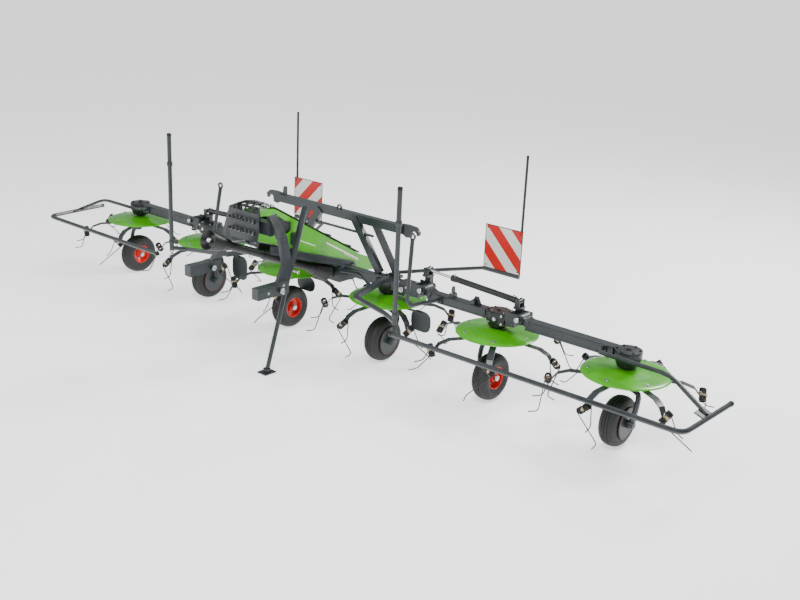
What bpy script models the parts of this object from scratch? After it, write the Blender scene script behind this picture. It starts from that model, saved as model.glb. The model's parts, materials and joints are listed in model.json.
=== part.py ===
"""Six-rotor three-point hay tedder, modelled standing on its wheels and its parking stand.

Frame: +X along the rotor row, +Y to the rear, -Y to the tractor, +Z up, floor at z = 0.
Every sub-part is one closed solid. Left and right pieces come from one function with side = +1 or -1.
"""

import math

import bmesh
import bpy
from mathutils import Matrix, Vector

# ------------------------------------------------------------------ driving dimensions (metres)
ROTOR_PITCH = 1.25          # distance between neighbouring rotor axes
ROW_Y = 0.3825              # rotor row, measured from the middle of the overall depth
GAP = 0.0003                # clearance between pieces that rest on each other
SLACK = 0.0004              # radial clearance of a pin in its eye

WHEEL_R = 0.21
WHEEL_WIDTH = 0.155
WHEEL_Y = -0.05
RIM_R = 0.103
AXLE_R = 0.016

DISC_R = 0.36
DISC_Z = 0.605              # height of the disc's rim
DISC_HUB_Z = 0.648          # height of the disc at its hub
DISC_WALL = 0.005
HUB_R = 0.078
SPINDLE_R = 0.045

DRUM_R = 0.110
DRUM_LOW = 0.668
DRUM_TOP = 0.80
HOUSING_HALF = 0.11         # half the width of the centre gearbox
HOUSING_Z = 0.7185

ARM_COUNT = 6
ARM_Z = 0.572
ARM_END_R = 0.575
ARM_END_Z = 0.487
COIL_R = 0.031
TINE_R = 0.0048
TINE_SWEEP = 0.165
TINE_DROP = 0.222
TINE_FOOT = 0.08

BEAM = 0.09
BEAM_Z = 0.752
FOLD_X = 1.08               # fold hinge, from the machine's middle
FOLD_Z = 0.80
TIP_X = 2.13                # hinge between the inner and outer wing
TIP_Z = 0.80
HINGE_PIN_R = 0.018
EAR = 0.018

SWIVEL_Y = -1.10            # headstock swivel axis
SWIVEL_PIN_R = 0.020
STOP_Z = 1.29               # height of the upper cross tube
STOP_HALF = 0.80

POST_X = 1.45
POST_Y = -0.86
POST_TOP = 1.911
BOARD_X = 1.29
BOARD_Y = 0.842
BOARD_SIZE = 0.423
BOARD_Z = 1.05
ROD_TOP = 1.96

GUARD_Y = -0.665            # level tube ahead of the wing rotors
GUARD_Z = 0.58
GUARD_R = 0.021
GUARD_IN = {1: 1.24, -1: 1.94}   # the left bar starts further out
GUARD_OUT = 3.95

CYLINDER_Y = 0.075
INNER_PIN = (1.03, 0.95)    # x and z of the fold cylinder's pin on the centre frame
OUTER_PIN = (2.03, 0.90)    # x and z of its pin on the wing
BARREL_R = 0.027
BARREL_START = 0.27          # distances along the cylinder from its inner pin
RAM_END = 0.60
EYE_REACH = 0.060
RAM_R = 0.013

STAND_X = 0.13
STAND_TOP = Vector((STAND_X, -0.60, 1.47))
STAND_LEAN = Vector((0.0, -0.296, -0.955)).normalized()
STAND_TUBE = 0.60
STAND_TUBE_R = 0.027
STAND_LEG_R = 0.020
STAND_LEG = 1.06

PTO_REAR = Vector((0.0, -0.20, 0.755))
PTO_FRONT = Vector((0.0, -1.60, 1.312))
PTO_TUBE_R = 0.036
PTO_CONE_R = 0.076

# Crop shields by rotor: x from, x to, y, z from, z to (x and y from the rotor's axis)
SHIELD_CORNER = 0.07
SHIELDS = {
    4: (0.21, 0.44, 0.10, 0.33, 0.53),
    2: (0.21, 0.44, 0.10, 0.24, 0.50),
    3: (-0.08, 0.17, 0.13, 0.345, 0.495),
}

SIDES = 20                  # facets of a rotor part
RING_SIDES = 12             # facets of the arms' hub ring
WHEEL_SIDES = 16            # tyre and rim share this count, so their facets line up

ANTHRACITE = ("anthracite_paint", (0.035, 0.042, 0.046), 0.45, 0.0)
BLACK = ("black_plastic", (0.012, 0.012, 0.013), 0.55, 0.0)
GREEN = ("green_paint", (0.105, 0.45, 0.012), 0.3, 0.0)
RED = ("red_paint", (0.72, 0.022, 0.015), 0.35, 0.0)
RUBBER = ("tyre_rubber", (0.018, 0.018, 0.018), 0.8, 0.0)
STEEL = ("bright_steel", (0.55, 0.55, 0.55), 0.3, 1.0)
BOARD = ("board_sheet", (0.75, 0.74, 0.72), 0.4, 0.0)

for old in list(bpy.data.objects):
    bpy.data.objects.remove(old, do_unlink=True)

PARTS = bpy.data.collections.new("hay_tedder")
CUTTERS = bpy.data.collections.new("cutters")
bpy.context.scene.collection.children.link(PARTS)
bpy.context.scene.collection.children.link(CUTTERS)


# ------------------------------------------------------------------ small helpers
def row(x, y, z):
    """A point given from the rotor row, in the part's own frame."""
    return Vector((x, y + ROW_Y, z))


def paint(obj, finish):
    name, colour, rough, metal = finish
    mat = bpy.data.materials.new(obj.name + "_" + name)
    mat.use_nodes = True
    shader = mat.node_tree.nodes["Principled BSDF"]
    shader.inputs["Base Color"].default_value = (*colour, 1.0)
    shader.inputs["Roughness"].default_value = rough
    shader.inputs["Metallic"].default_value = metal
    obj.data.materials.clear()
    obj.data.materials.append(mat)


def new_object(name, mesh):
    obj = bpy.data.objects.new(name, mesh)
    PARTS.objects.link(obj)
    return obj


def evaluated_mesh(obj):
    bpy.context.view_layer.update()
    graph = bpy.context.evaluated_depsgraph_get()
    return bpy.data.meshes.new_from_object(obj.evaluated_get(graph))


def tidy_mesh(mesh):
    bm = bmesh.new()
    bm.from_mesh(mesh)
    bmesh.ops.remove_doubles(bm, verts=bm.verts, dist=0.000005)
    bmesh.ops.recalc_face_normals(bm, faces=bm.faces)
    bm.to_mesh(mesh)
    bm.free()
    return mesh


def freeze(obj):
    """Turns a curve or a modified object into a plain mesh object in world space."""
    mesh = evaluated_mesh(obj)
    mesh.transform(obj.matrix_world)
    name = obj.name
    bpy.data.objects.remove(obj, do_unlink=True)
    return new_object(name, tidy_mesh(mesh))


def combine(name, pieces, operation="UNION"):
    """One solid from several: the first is joined with, or cut by, each of the others."""
    base = pieces[0]
    for other in pieces[1:]:
        mod = base.modifiers.new("join", "BOOLEAN")
        mod.operation = operation
        mod.solver = "EXACT"
        mod.object = other
        mesh = evaluated_mesh(base)
        base.modifiers.clear()
        base.data = tidy_mesh(mesh)
        bpy.data.objects.remove(other, do_unlink=True)
    base.name = name
    return base


def box(centre, size, turn=None):
    bm = bmesh.new()
    bmesh.ops.create_cube(bm, size=1.0, matrix=Matrix.Diagonal((*size, 1.0)))
    mesh = bpy.data.meshes.new("box")
    bm.to_mesh(mesh)
    bm.free()
    if turn is not None:
        mesh.transform(turn)
    mesh.transform(Matrix.Translation(centre))
    return new_object("box", mesh)


def bar(start, end, width, height, up=(0, 0, 1)):
    """A flat or square bar between two points, height measured along up."""
    along = (end - start).normalized()
    side = along.cross(Vector(up)).normalized()
    top = side.cross(along)
    turn = Matrix((side, along, top)).transposed().to_4x4()
    return box((start + end) / 2, (width, (end - start).length, height), turn)


def rod(start, end, radius, sides=12, end_radius=None):
    bm = bmesh.new()
    length = (end - start).length
    wide = radius if end_radius is None else end_radius
    bmesh.ops.create_cone(
        bm, cap_ends=True, segments=sides, radius1=radius, radius2=wide, depth=length
    )
    mesh = bpy.data.meshes.new("rod")
    bm.to_mesh(mesh)
    bm.free()
    turn = (end - start).to_track_quat("Z", "Y").to_matrix().to_4x4()
    mesh.transform(Matrix.Translation((start + end) / 2) @ turn)
    return new_object("rod", mesh)


def pipe(points, radius, resolution=1):
    """A bent tube with closed ends through the given points."""
    curve = bpy.data.curves.new("pipe", "CURVE")
    curve.dimensions = "3D"
    curve.bevel_depth = radius
    curve.bevel_resolution = resolution
    curve.use_fill_caps = True
    spline = curve.splines.new("POLY")
    spline.points.add(len(points) - 1)
    for point, place in zip(spline.points, points):
        point.co = (*place, 1.0)
    obj = bpy.data.objects.new("pipe", curve)
    PARTS.objects.link(obj)
    return freeze(obj)


def bend(before, corner, after, radius, steps=2):
    """Points of a round corner between two straight runs."""
    a = (before - corner).normalized()
    b = (after - corner).normalized()
    start, end = corner + a * radius, corner + b * radius
    out = []
    for i in range(steps + 1):
        t = i / steps
        out.append(start * (1 - t) ** 2 + corner * 2 * t * (1 - t) + end * t**2)
    return out


def plate_x(outline, x_low, x_high):
    """A flat plate across X from a (y, z) outline given from the rotor row."""
    curve = bpy.data.curves.new("plate", "CURVE")
    curve.dimensions = "2D"
    curve.fill_mode = "BOTH"
    curve.extrude = (x_high - x_low) / 2
    spline = curve.splines.new("POLY")
    spline.points.add(len(outline) - 1)
    for point, (y, z) in zip(spline.points, outline):
        point.co = (y + ROW_Y, z, 0, 1)
    spline.use_cyclic_u = True
    obj = bpy.data.objects.new("plate", curve)
    obj.matrix_world = Matrix(
        ((0, 0, 1, (x_low + x_high) / 2), (1, 0, 0, 0), (0, 1, 0, 0), (0, 0, 0, 1))
    )
    PARTS.objects.link(obj)
    return freeze(obj)


def plate_y(outline, y_low, y_high):
    """A flat plate across Y from an (x, z) outline, its depth given from the rotor row."""
    curve = bpy.data.curves.new("plate", "CURVE")
    curve.dimensions = "2D"
    curve.fill_mode = "BOTH"
    curve.extrude = (y_high - y_low) / 2
    spline = curve.splines.new("POLY")
    spline.points.add(len(outline) - 1)
    for point, (x, z) in zip(spline.points, outline):
        point.co = (x, z, 0, 1)
    spline.use_cyclic_u = True
    obj = bpy.data.objects.new("plate", curve)
    middle = ROW_Y + (y_low + y_high) / 2
    obj.matrix_world = Matrix(((1, 0, 0, 0), (0, 0, -1, middle), (0, 1, 0, 0), (0, 0, 0, 1)))
    PARTS.objects.link(obj)
    return freeze(obj)


def turned(profile, sides=SIDES, matrix=None):
    """A solid of revolution about Z from a closed (radius, z) profile, run down its outer side."""
    mesh = bpy.data.meshes.new("turned")
    bm = bmesh.new()
    verts = [bm.verts.new((r, 0, z)) for r, z in profile]
    closed = profile[0][0] > 1e-6 or profile[-1][0] > 1e-6
    for a, b in zip(verts, verts[1:]):
        bm.edges.new((a, b))
    if closed:
        bm.edges.new((verts[-1], verts[0]))
    bm.to_mesh(mesh)
    bm.free()
    obj = new_object("turned", mesh)
    screw = obj.modifiers.new("turn", "SCREW")
    screw.steps = sides
    screw.render_steps = sides
    screw.use_merge_vertices = True
    screw.merge_threshold = 0.00005
    if matrix is not None:
        obj.matrix_world = matrix
    return freeze(obj)


def finish(obj, name, finish_name, pivot=None, parent=None):
    """Names a piece, gives it its finish and puts its origin on its own axis."""
    obj.name = name
    obj.data.name = name
    paint(obj, finish_name)
    if pivot is not None:
        obj.data.transform(Matrix.Translation(-pivot))
        obj.location = pivot
    if parent is not None:
        place = obj.location.copy()
        obj.parent = parent
        obj.location = place - parent.matrix_world.translation
    obj.data.shade_smooth()
    obj.data.set_sharp_from_angle(angle=math.radians(32))
    bpy.context.view_layer.update()
    return obj


def pivot_empty(name, place, parent=None):
    """An empty on a joint's axis, carrying the body that turns about it."""
    empty = bpy.data.objects.new(name, None)
    PARTS.objects.link(empty)
    if parent is not None:
        empty.parent = parent
        empty.location = place - parent.matrix_world.translation
    else:
        empty.location = place
    bpy.context.view_layer.update()
    return empty


def hole_r(pin_radius, sides=16):
    """Radius of a faceted eye whose flats clear a round pin."""
    return (pin_radius + SLACK) / math.cos(math.pi / sides)


# ------------------------------------------------------------------ wheels
def tyre_mesh():
    half = WHEEL_WIDTH / 2
    bead = half - 0.014
    profile = [
        (WHEEL_R, half * 0.45),
        (WHEEL_R, -half * 0.45),
        (WHEEL_R - 0.045, -half),
        (RIM_R + 0.018, -half + 0.004),
        (RIM_R + 0.0006, -bead),
        (RIM_R + 0.0006, bead),
        (RIM_R + 0.018, half - 0.004),
        (WHEEL_R - 0.045, half),
    ]
    obj = turned(profile, WHEEL_SIDES)
    mesh = obj.data
    bpy.data.objects.remove(obj, do_unlink=True)
    return mesh


def rim_mesh():
    """Dished wheel centre with a hub that runs on the axle; its open face looks along +Z."""
    half = WHEEL_WIDTH / 2 - 0.016
    bore = hole_r(AXLE_R, WHEEL_SIDES)
    profile = [
        (RIM_R, half),
        (RIM_R, -half),
        (RIM_R - 0.010, -half),
        (0.034, -0.030),
        (bore, -0.055),
        (bore, 0.045),
        (0.034, -0.006),
        (RIM_R - 0.010, half),
    ]
    obj = turned(profile, WHEEL_SIDES)
    mesh = obj.data
    bpy.data.objects.remove(obj, do_unlink=True)
    return mesh


def place_wheel(number, x, open_side, tyre, rim, parent):
    """open_side = +1 when the open red face looks along +X."""
    hub = row(x, WHEEL_Y, WHEEL_R)
    axle = pivot_empty(f"wheel_axle_{number}", hub, parent)
    turn = Matrix.Rotation(open_side * math.pi / 2, 4, "Y")
    for mesh, name, look in ((tyre, "tyre", RUBBER), (rim, "wheel_rim", RED)):
        own = mesh.copy()
        own.transform(turn)
        own.transform(Matrix.Translation(hub))
        finish(new_object(name, own), f"{name}_{number}", look, hub, axle)


# ------------------------------------------------------------------ rotors
def disc_mesh():
    """Shallow saucer with a hub that runs on the spindle, at the rotor's own axis."""
    bore = hole_r(SPINDLE_R, SIDES)
    profile = [
        (HUB_R + 0.05, DISC_HUB_Z),
        (DISC_R - 0.03, DISC_Z + 0.012),
        (DISC_R, DISC_Z + 0.004),
        (DISC_R - 0.03, DISC_Z + 0.012 - DISC_WALL),
        (HUB_R, DISC_HUB_Z - 0.012),
        (HUB_R, ARM_Z - 0.012),
        (bore, ARM_Z - 0.012),
        (bore, DISC_HUB_Z),
    ]
    obj = turned(profile, SIDES)
    mesh = obj.data
    bpy.data.objects.remove(obj, do_unlink=True)
    return mesh


def tine(side_shift, rise, drop, sweep, out, hand):
    """One hooked tine wire: from its coil down and sideways, ending in a short outward foot."""
    centre = Vector((ARM_END_R + 0.025, 0, ARM_END_Z))
    start = centre + Vector((0.005, hand * side_shift, rise))
    knee = centre + Vector((out, hand * sweep, -drop))
    foot = knee + Vector((TINE_FOOT, hand * 0.004, -0.012))
    return pipe([start, knee, foot], TINE_R, 0)


def arm_pieces(hand):
    """One arm along +X with its twin coil block and its long and short tine."""
    path = [
        Vector((0.12, 0, ARM_Z)),
        Vector((0.44, 0, ARM_Z)),
        Vector((0.53, 0, ARM_Z - 0.03)),
        Vector((ARM_END_R, 0, ARM_END_Z)),
    ]
    mesh = bpy.data.meshes.new("arm")
    bm = bmesh.new()
    half_width = (0.030, 0.029, 0.026, 0.022)
    rings = []
    for i, place in enumerate(path):
        before, after = path[max(i - 1, 0)], path[min(i + 1, len(path) - 1)]
        up = Vector((0, 1, 0)).cross(before - after).normalized() * 0.005
        side = Vector((0, half_width[i], 0))
        corners = (place + side + up, place - side + up, place - side - up, place + side - up)
        rings.append([bm.verts.new(c) for c in corners])
    for a, b in zip(rings, rings[1:]):
        for k in range(4):
            bm.faces.new((a[k], a[(k + 1) % 4], b[(k + 1) % 4], b[k]))
    bm.faces.new(rings[0])
    bm.faces.new(rings[-1])
    bm.to_mesh(mesh)
    bm.free()
    arm = new_object("arm", tidy_mesh(mesh))
    middle = Vector((ARM_END_R + 0.025, 0, ARM_END_Z))
    tilt = Vector((0, hand * 0.037, 0.035))
    coil = rod(middle - tilt, middle + tilt, COIL_R, 5)
    long_tine = tine(-0.024, -0.023, TINE_DROP, TINE_SWEEP, 0.05, hand)
    short_tine = tine(0.024, 0.023, TINE_DROP * 0.53, TINE_SWEEP * 0.53, 0.03, hand)
    return [arm, coil, long_tine, short_tine]


def arms_mesh(hand):
    """Hub ring with six arms. hand = +1 for even rotors and -1 for odd ones."""
    first = combine("arm", arm_pieces(hand))
    inner = (HUB_R + GAP) / math.cos(math.pi / RING_SIDES)
    ring_profile = [
        (HUB_R + 0.085, ARM_Z + 0.006),
        (HUB_R + 0.085, ARM_Z - 0.006),
        (inner, ARM_Z - 0.006),
        (inner, ARM_Z + 0.006),
    ]
    ring = turned(ring_profile, RING_SIDES)
    for k in range(ARM_COUNT):
        copy = new_object("arm_copy", first.data.copy())
        copy.data.transform(Matrix.Rotation(k * math.tau / ARM_COUNT, 4, "Z"))
        ring = combine("ring", [ring, copy])
    mesh = ring.data
    bpy.data.objects.remove(ring, do_unlink=True)
    bpy.data.objects.remove(first, do_unlink=True)
    return mesh


def place_rotor(number, x, disc, arms, parent):
    """Even rotors hold their arms half a step round, so that neighbours interleave."""
    axis = row(x, 0, 0)
    spin = pivot_empty(f"rotor_axis_{number}", axis, parent)
    turn = Matrix.Rotation(math.pi / ARM_COUNT if number % 2 == 0 else 0.0, 4, "Z")
    for mesh, name, look in ((disc, "rotor_disc", GREEN), (arms, "tine_arms", ANTHRACITE)):
        own = mesh.copy()
        own.transform(turn)
        own.transform(Matrix.Translation(axis))
        finish(new_object(name, own), f"{name}_{number}", look, axis, spin)


# ------------------------------------------------------------------ rotor gearbox, spindle and wheel strut
def strut_pieces(x, strut_side):
    """Fixed spindle through the rotor, and the bent tube that carries the wheel on one side."""
    s = strut_side
    spindle_low = 0.515
    hub = row(x, WHEEL_Y, WHEEL_R)
    top = row(x, 0, spindle_low + 0.05)
    knee = row(x + s * 0.02, 0.0, 0.495)
    out = row(x + s * 0.137, -0.004, 0.470)
    down = row(x + s * 0.140, -0.032, 0.36)
    end = hub + Vector((s * 0.122, 0, 0))
    points = [top, knee, *bend(knee, out, down, 0.04), down, end]
    spindle = rod(row(x, 0, spindle_low), row(x, 0, DRUM_LOW + 0.02), SPINDLE_R, SIDES)
    tube = pipe(points, 0.022)
    cap = rod(hub + Vector((s * 0.080, 0, 0)), hub + Vector((s * 0.145, 0, 0)), 0.032, 8)
    axle = rod(hub - Vector((s * 0.060, 0, 0)), hub + Vector((s * 0.10, 0, 0)), AXLE_R, 12)
    shield = rod(hub + Vector((s * 0.0845, 0, 0)), hub + Vector((s * 0.0885, 0, 0)), 0.13, 16)
    nut = rod(hub - Vector((s * 0.073, 0, 0)), hub - Vector((s * 0.0585, 0, 0)), 0.026, 8)
    return [spindle, tube, cap, axle, shield, nut]


def crop_shield(x, x_low, x_high, y, z_low, z_high):
    """Upright sheet behind a wheel, held by a flat arm from the spindle's foot."""
    middle = x + (x_low + x_high) / 2
    corners = [(x_low, z_low), (x_high, z_low), (x_high, z_high), (x_low, z_high)]
    centre_x, centre_z = (x_low + x_high) / 2, (z_low + z_high) / 2
    outline = []
    for k, (corner_x, corner_z) in enumerate(corners):
        arc_x = corner_x + math.copysign(SHIELD_CORNER, centre_x - corner_x)
        arc_z = corner_z + math.copysign(SHIELD_CORNER, centre_z - corner_z)
        for step in range(4):
            angle = math.radians(180 + 90 * k + 30 * step)
            outline.append((x + arc_x + SHIELD_CORNER * math.cos(angle), arc_z + SHIELD_CORNER * math.sin(angle)))
    sheet = plate_y(outline, y - 0.003, y + 0.003)
    arm = bar(row(x, 0.022, 0.533), row(middle, y, z_high - 0.016), 0.034, 0.009)
    return [arm, sheet]


def drum(x):
    profile = [
        (0.0, DRUM_TOP),
        (DRUM_R, DRUM_TOP),
        (DRUM_R, DRUM_TOP - 0.07),
        (DRUM_R - 0.03, DRUM_LOW),
        (0.0, DRUM_LOW),
    ]
    return turned(profile, SIDES, Matrix.Translation(row(x, 0, 0)))


def fold_ears(x, hinge, side):
    """Block off a gearbox's side that ends in two ears with a hinge pin along Y."""
    s = side
    block_end = hinge.x - s * 0.050
    start = x + s * 0.05
    middle = Vector(((start + block_end) / 2, hinge.y, BEAM_Z))
    pieces = [box(middle, (abs(block_end - start), 0.13, 0.082))]
    for y in (-0.075, 0.075):
        centre = Vector((hinge.x - s * 0.05, hinge.y + y, hinge.z - 0.002))
        pieces.append(box(centre, (0.17, EAR, 0.078)))
        fill = Vector((hinge.x - s * 0.09, hinge.y + y * 0.9, BEAM_Z))
        pieces.append(box(fill, (0.07, 0.03, 0.07)))
    pin_half = Vector((0, 0.098, 0))
    pieces.append(rod(hinge - pin_half, hinge + pin_half, HINGE_PIN_R, 12))
    return pieces


def clevis(pin):
    """Post and two upright plates that stand on a hinge ear and take a cylinder's end."""
    base = pin.z - 0.042
    ear_y = ROW_Y + 0.091
    pieces = [box(Vector((pin.x, ear_y, (0.785 + base) / 2)), (0.06, 0.049, base - 0.785))]
    pieces.append(box(Vector((pin.x, pin.y, base - 0.010)), (0.064, 0.088, 0.020)))
    for y in (-0.0355, 0.0355):
        top = pin.z + 0.022
        centre = Vector((pin.x, pin.y + y, (base - 0.013 + top) / 2))
        pieces.append(box(centre, (0.05, 0.009, top - base + 0.013)))
    return pieces


def cylinder_pins(side):
    inner_pin = row(side * INNER_PIN[0], CYLINDER_Y, INNER_PIN[1])
    outer_pin = row(side * OUTER_PIN[0], CYLINDER_Y, OUTER_PIN[1])
    return inner_pin, outer_pin


def rotor_gearbox(number, x, strut_side, parent, ears=None):
    """Gearbox drum, spindle and wheel strut of one rotor, with the hinge it carries if it has one."""
    pieces = [drum(x), *strut_pieces(x, strut_side)]
    if ears is not None:
        hinge, side = ears
        pieces += fold_ears(x, hinge, side)
        inner = abs(x) < ROTOR_PITCH
        pin = cylinder_pins(side)[0 if inner else 1]
        pieces += clevis(pin)
        if inner:
            half = Vector((0, 0.046, 0))
            pieces.append(rod(pin - half, pin + half, 0.012, 12))
    if number in SHIELDS:
        pieces += crop_shield(x, *SHIELDS[number])
    finish(combine("gearbox", pieces), f"rotor_gearbox_{number}", ANTHRACITE, row(x, 0, 0), parent)


# ------------------------------------------------------------------ centre frame
def centre_beam():
    """Centre gearbox housing with the beam tubes that reach both inner rotor gearboxes."""
    reach = ROTOR_PITCH / 2 - DRUM_R - GAP
    housing = box(row(0, 0.0, HOUSING_Z), (2 * HOUSING_HALF, 0.22, 0.148))
    beam = box(row(0, 0, BEAM_Z), (2 * reach, BEAM, BEAM * 0.9))
    along = (PTO_FRONT - PTO_REAR).normalized()
    rear = row(*PTO_REAR)
    stub = rod(rear - along * 0.15, rear - along * (0.022 + GAP), 0.045, 16)
    body = combine("centre_beam", [housing, beam, stub])
    return finish(body, "centre_beam", ANTHRACITE)


def boom():
    """Swan neck: two fingers at the swivel, one deep arm back to the saddle over the beam."""
    saddle_z = BEAM_Z + BEAM * 0.45 + GAP
    outline = [
        (-1.15, 1.50), (-0.90, 1.475), (-0.57, 1.29), (0.21, 0.857), (0.46, 0.755),
        (0.46, 0.66), (0.14, 0.69), (0.113, 0.70), (0.113, saddle_z), (-0.113, saddle_z),
        (-0.20, 0.862), (-0.52, 1.0), (-0.74, 1.10), (-1.10, 1.22), (-1.15, 1.25),
        (-1.15, 1.31), (-1.10, 1.32), (-0.80, 1.22), (-0.72, 1.24), (-0.76, 1.33),
        (-0.86, 1.40), (-1.03, 1.43), (-1.15, 1.43),
    ]
    body = plate_x(outline, -0.07, 0.07)
    for z in (1.28, 1.47):
        cut = rod(row(0, SWIVEL_Y, z - 0.1), row(0, SWIVEL_Y, z + 0.1), hole_r(SWIVEL_PIN_R), 16)
        body = combine("boom", [body, cut], "DIFFERENCE")
    return finish(body, "swan_neck_boom", GREEN)


def stop_frame():
    """Upper cross tube with a hook at each end, its four legs and the thin rod beneath."""
    foot = DRUM_TOP + GAP
    pieces = [box(row(0, -0.02, STOP_Z), (2 * STOP_HALF, 0.07, 0.075))]
    for s in (-1, 1):
        pieces.append(bar(row(s * 0.22, -0.045, STOP_Z), row(s * 0.557, -0.045, foot + 0.034), 0.05, 0.07))
        pieces.append(box(row(s * 0.568, -0.045, foot + 0.014), (0.10, 0.07, 0.028)))
        pieces.append(bar(row(s * 0.42, 0.0, STOP_Z), row(s * 0.674, 0.056, foot + 0.029), 0.035, 0.06))
        pieces.append(box(row(s * 0.688, 0.06, foot + 0.012), (0.08, 0.05, 0.024)))
        pieces.append(hook(s))
    pieces.append(rod(row(-0.36, -0.045, 1.16), row(0.457, -0.045, 1.16), 0.013, 8))
    eye = Matrix.Translation(row(0, -0.02, STOP_Z + 0.052)) @ Matrix.Rotation(math.pi / 2, 4, "X")
    pieces.append(turned([(0.030, 0.008), (0.030, -0.008), (0.017, -0.008), (0.017, 0.008)], 12, eye))
    return finish(combine("stop", pieces), "fold_stop_frame", ANTHRACITE)


def hook(side):
    """Plate on the cross tube's end: an upright finger and a hook whose mouth looks down."""
    outline = [
        (0.69, 1.27), (0.69, 1.32), (0.72, 1.335), (0.72, 1.41), (0.75, 1.41), (0.76, 1.34),
        (0.86, 1.347), (0.95, 1.34), (0.99, 1.305), (0.985, 1.27), (0.965, 1.262),
        (0.955, 1.285), (0.935, 1.30), (0.905, 1.295), (0.895, 1.27), (0.89, 1.235),
        (0.84, 1.225), (0.80, 1.245), (0.78, 1.268),
    ]
    return plate_y([(side * x, z) for x, z in outline], -0.033, -0.007)


def front_guard(side):
    """Arm off the gearbox lid, the bar ahead of the inner rotor, its post and its brace."""
    s = side
    lid = DRUM_TOP + GAP + 0.02
    start = row(s * 0.68, -0.085, lid)
    corner = row(s * 0.85, -0.69, lid)
    foot = row(s * POST_X, POST_Y, 0.79)
    before = row(s * 1.28, -0.77, 0.79)
    arm = bar(start, corner, 0.05, 0.04)
    rail = pipe([start.lerp(corner, 0.88), *bend(start, corner, before, 0.04), before, foot], 0.021)
    post = rod(row(s * POST_X, POST_Y, 0.765), row(s * POST_X, POST_Y, POST_TOP), 0.021, 12)
    middle = start.lerp(corner, 0.5)
    brace = pipe([row(s * (HOUSING_HALF + 0.0085), -0.10, 0.762), row(s * 0.38, -0.12, 0.80), middle], 0.018)
    body = combine("guard", [arm, rail, post, brace])
    return finish(body, f"front_guard_{side_name(side)}", ANTHRACITE)


def board_carrier(side):
    s = side
    lid = DRUM_TOP + GAP + 0.018
    start = row(s * 0.60, 0.085, lid)
    knee = row(s * 0.79, 0.38, 0.825)
    low = BOARD_Z - BOARD_SIZE / 2 - 0.018 - GAP
    turn = row(s * 1.07, BOARD_Y + 0.003, low)
    end = row(s * 1.49, BOARD_Y + 0.003, low)
    tube = pipe([start, *bend(start, knee, turn, 0.05), turn, end], 0.018)
    rod_y = BOARD_Y + 0.002 + GAP + 0.008
    mast = rod(row(s * 1.475, rod_y, low - 0.006), row(s * 1.475, rod_y, ROD_TOP), 0.008, 8)
    foot = box(row(s * 0.60, 0.080, lid - 0.010), (0.055, 0.045, 0.016))
    return finish(combine("carrier", [tube, mast, foot]), f"board_carrier_{side_name(side)}", ANTHRACITE)


def warning_board(side):
    board = box(row(side * BOARD_X, BOARD_Y, BOARD_Z), (BOARD_SIZE, 0.004, BOARD_SIZE))
    return finish(board, f"warning_board_{side_name(side)}", BOARD)


def pto_shaft():
    """Drive shaft in its guard: two telescoped tubes with a ribbed cone over each joint."""
    along = (PTO_FRONT - PTO_REAR).normalized()
    rear, front = row(*PTO_REAR), row(*PTO_FRONT)
    tube = rod(rear + along * 0.04, front - along * 0.04, PTO_TUBE_R, 10)
    thick = rod(rear + along * 0.20, rear + along * 0.85, PTO_TUBE_R + 0.006, 10)
    rear_cone = rod(rear, rear + along * 0.16, PTO_CONE_R, 16, 0.062)
    rear_neck = rod(rear + along * 0.15, rear + along * 0.24, 0.066, 12, 0.045)
    front_cone = rod(front - along * 0.17, front, 0.062, 16, PTO_CONE_R)
    front_neck = rod(front - along * 0.26, front - along * 0.16, 0.045, 12, 0.066)
    yoke = rod(rear - along * 0.022, rear + along * 0.05, 0.040, 12)
    body = combine("pto", [tube, thick, rear_cone, rear_neck, front_cone, front_neck, yoke])
    return finish(body, "pto_shaft", BLACK)


def stand_sleeve():
    """Hollow guide tube of the parking stand, clamped to the boom's side."""
    top = row(*STAND_TOP)
    end = top + STAND_LEAN * STAND_TUBE
    sleeve = rod(top, end, STAND_TUBE_R, 16)
    collar = rod(end - STAND_LEAN * 0.03, end, STAND_TUBE_R + 0.010, 16)
    clamp_at = top + STAND_LEAN * 0.304
    gap_x = STAND_X - 0.07
    clamp = box(clamp_at - Vector((gap_x / 2 - GAP / 2, 0, 0)), (gap_x - GAP, 0.06, 0.10))
    body = combine("sleeve", [sleeve, collar, clamp])
    bore = rod(top - STAND_LEAN * 0.1, end + STAND_LEAN * 0.1, hole_r(STAND_LEG_R), 16)
    return finish(combine("sleeve", [body, bore], "DIFFERENCE"), "stand_sleeve", ANTHRACITE)


def stand_leg(parent):
    """Inner leg, lowered so that its foot plate stands on the floor."""
    top = row(*STAND_TOP)
    plate_top = 0.012
    length_down = (STAND_TOP.z - plate_top) / -STAND_LEAN.z
    foot = top + STAND_LEAN * length_down
    leg = rod(foot - STAND_LEAN * STAND_LEG, foot, STAND_LEG_R, 16)
    plate = box(Vector((foot.x, foot.y, plate_top / 2)), (0.11, 0.13, plate_top))
    knob = rod(foot + Vector((0, 0, -0.002)), foot + Vector((0, 0, 0.03)), 0.034, 16)
    finish(combine("leg", [leg, plate, knob]), "stand_leg", ANTHRACITE, top, parent)


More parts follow.
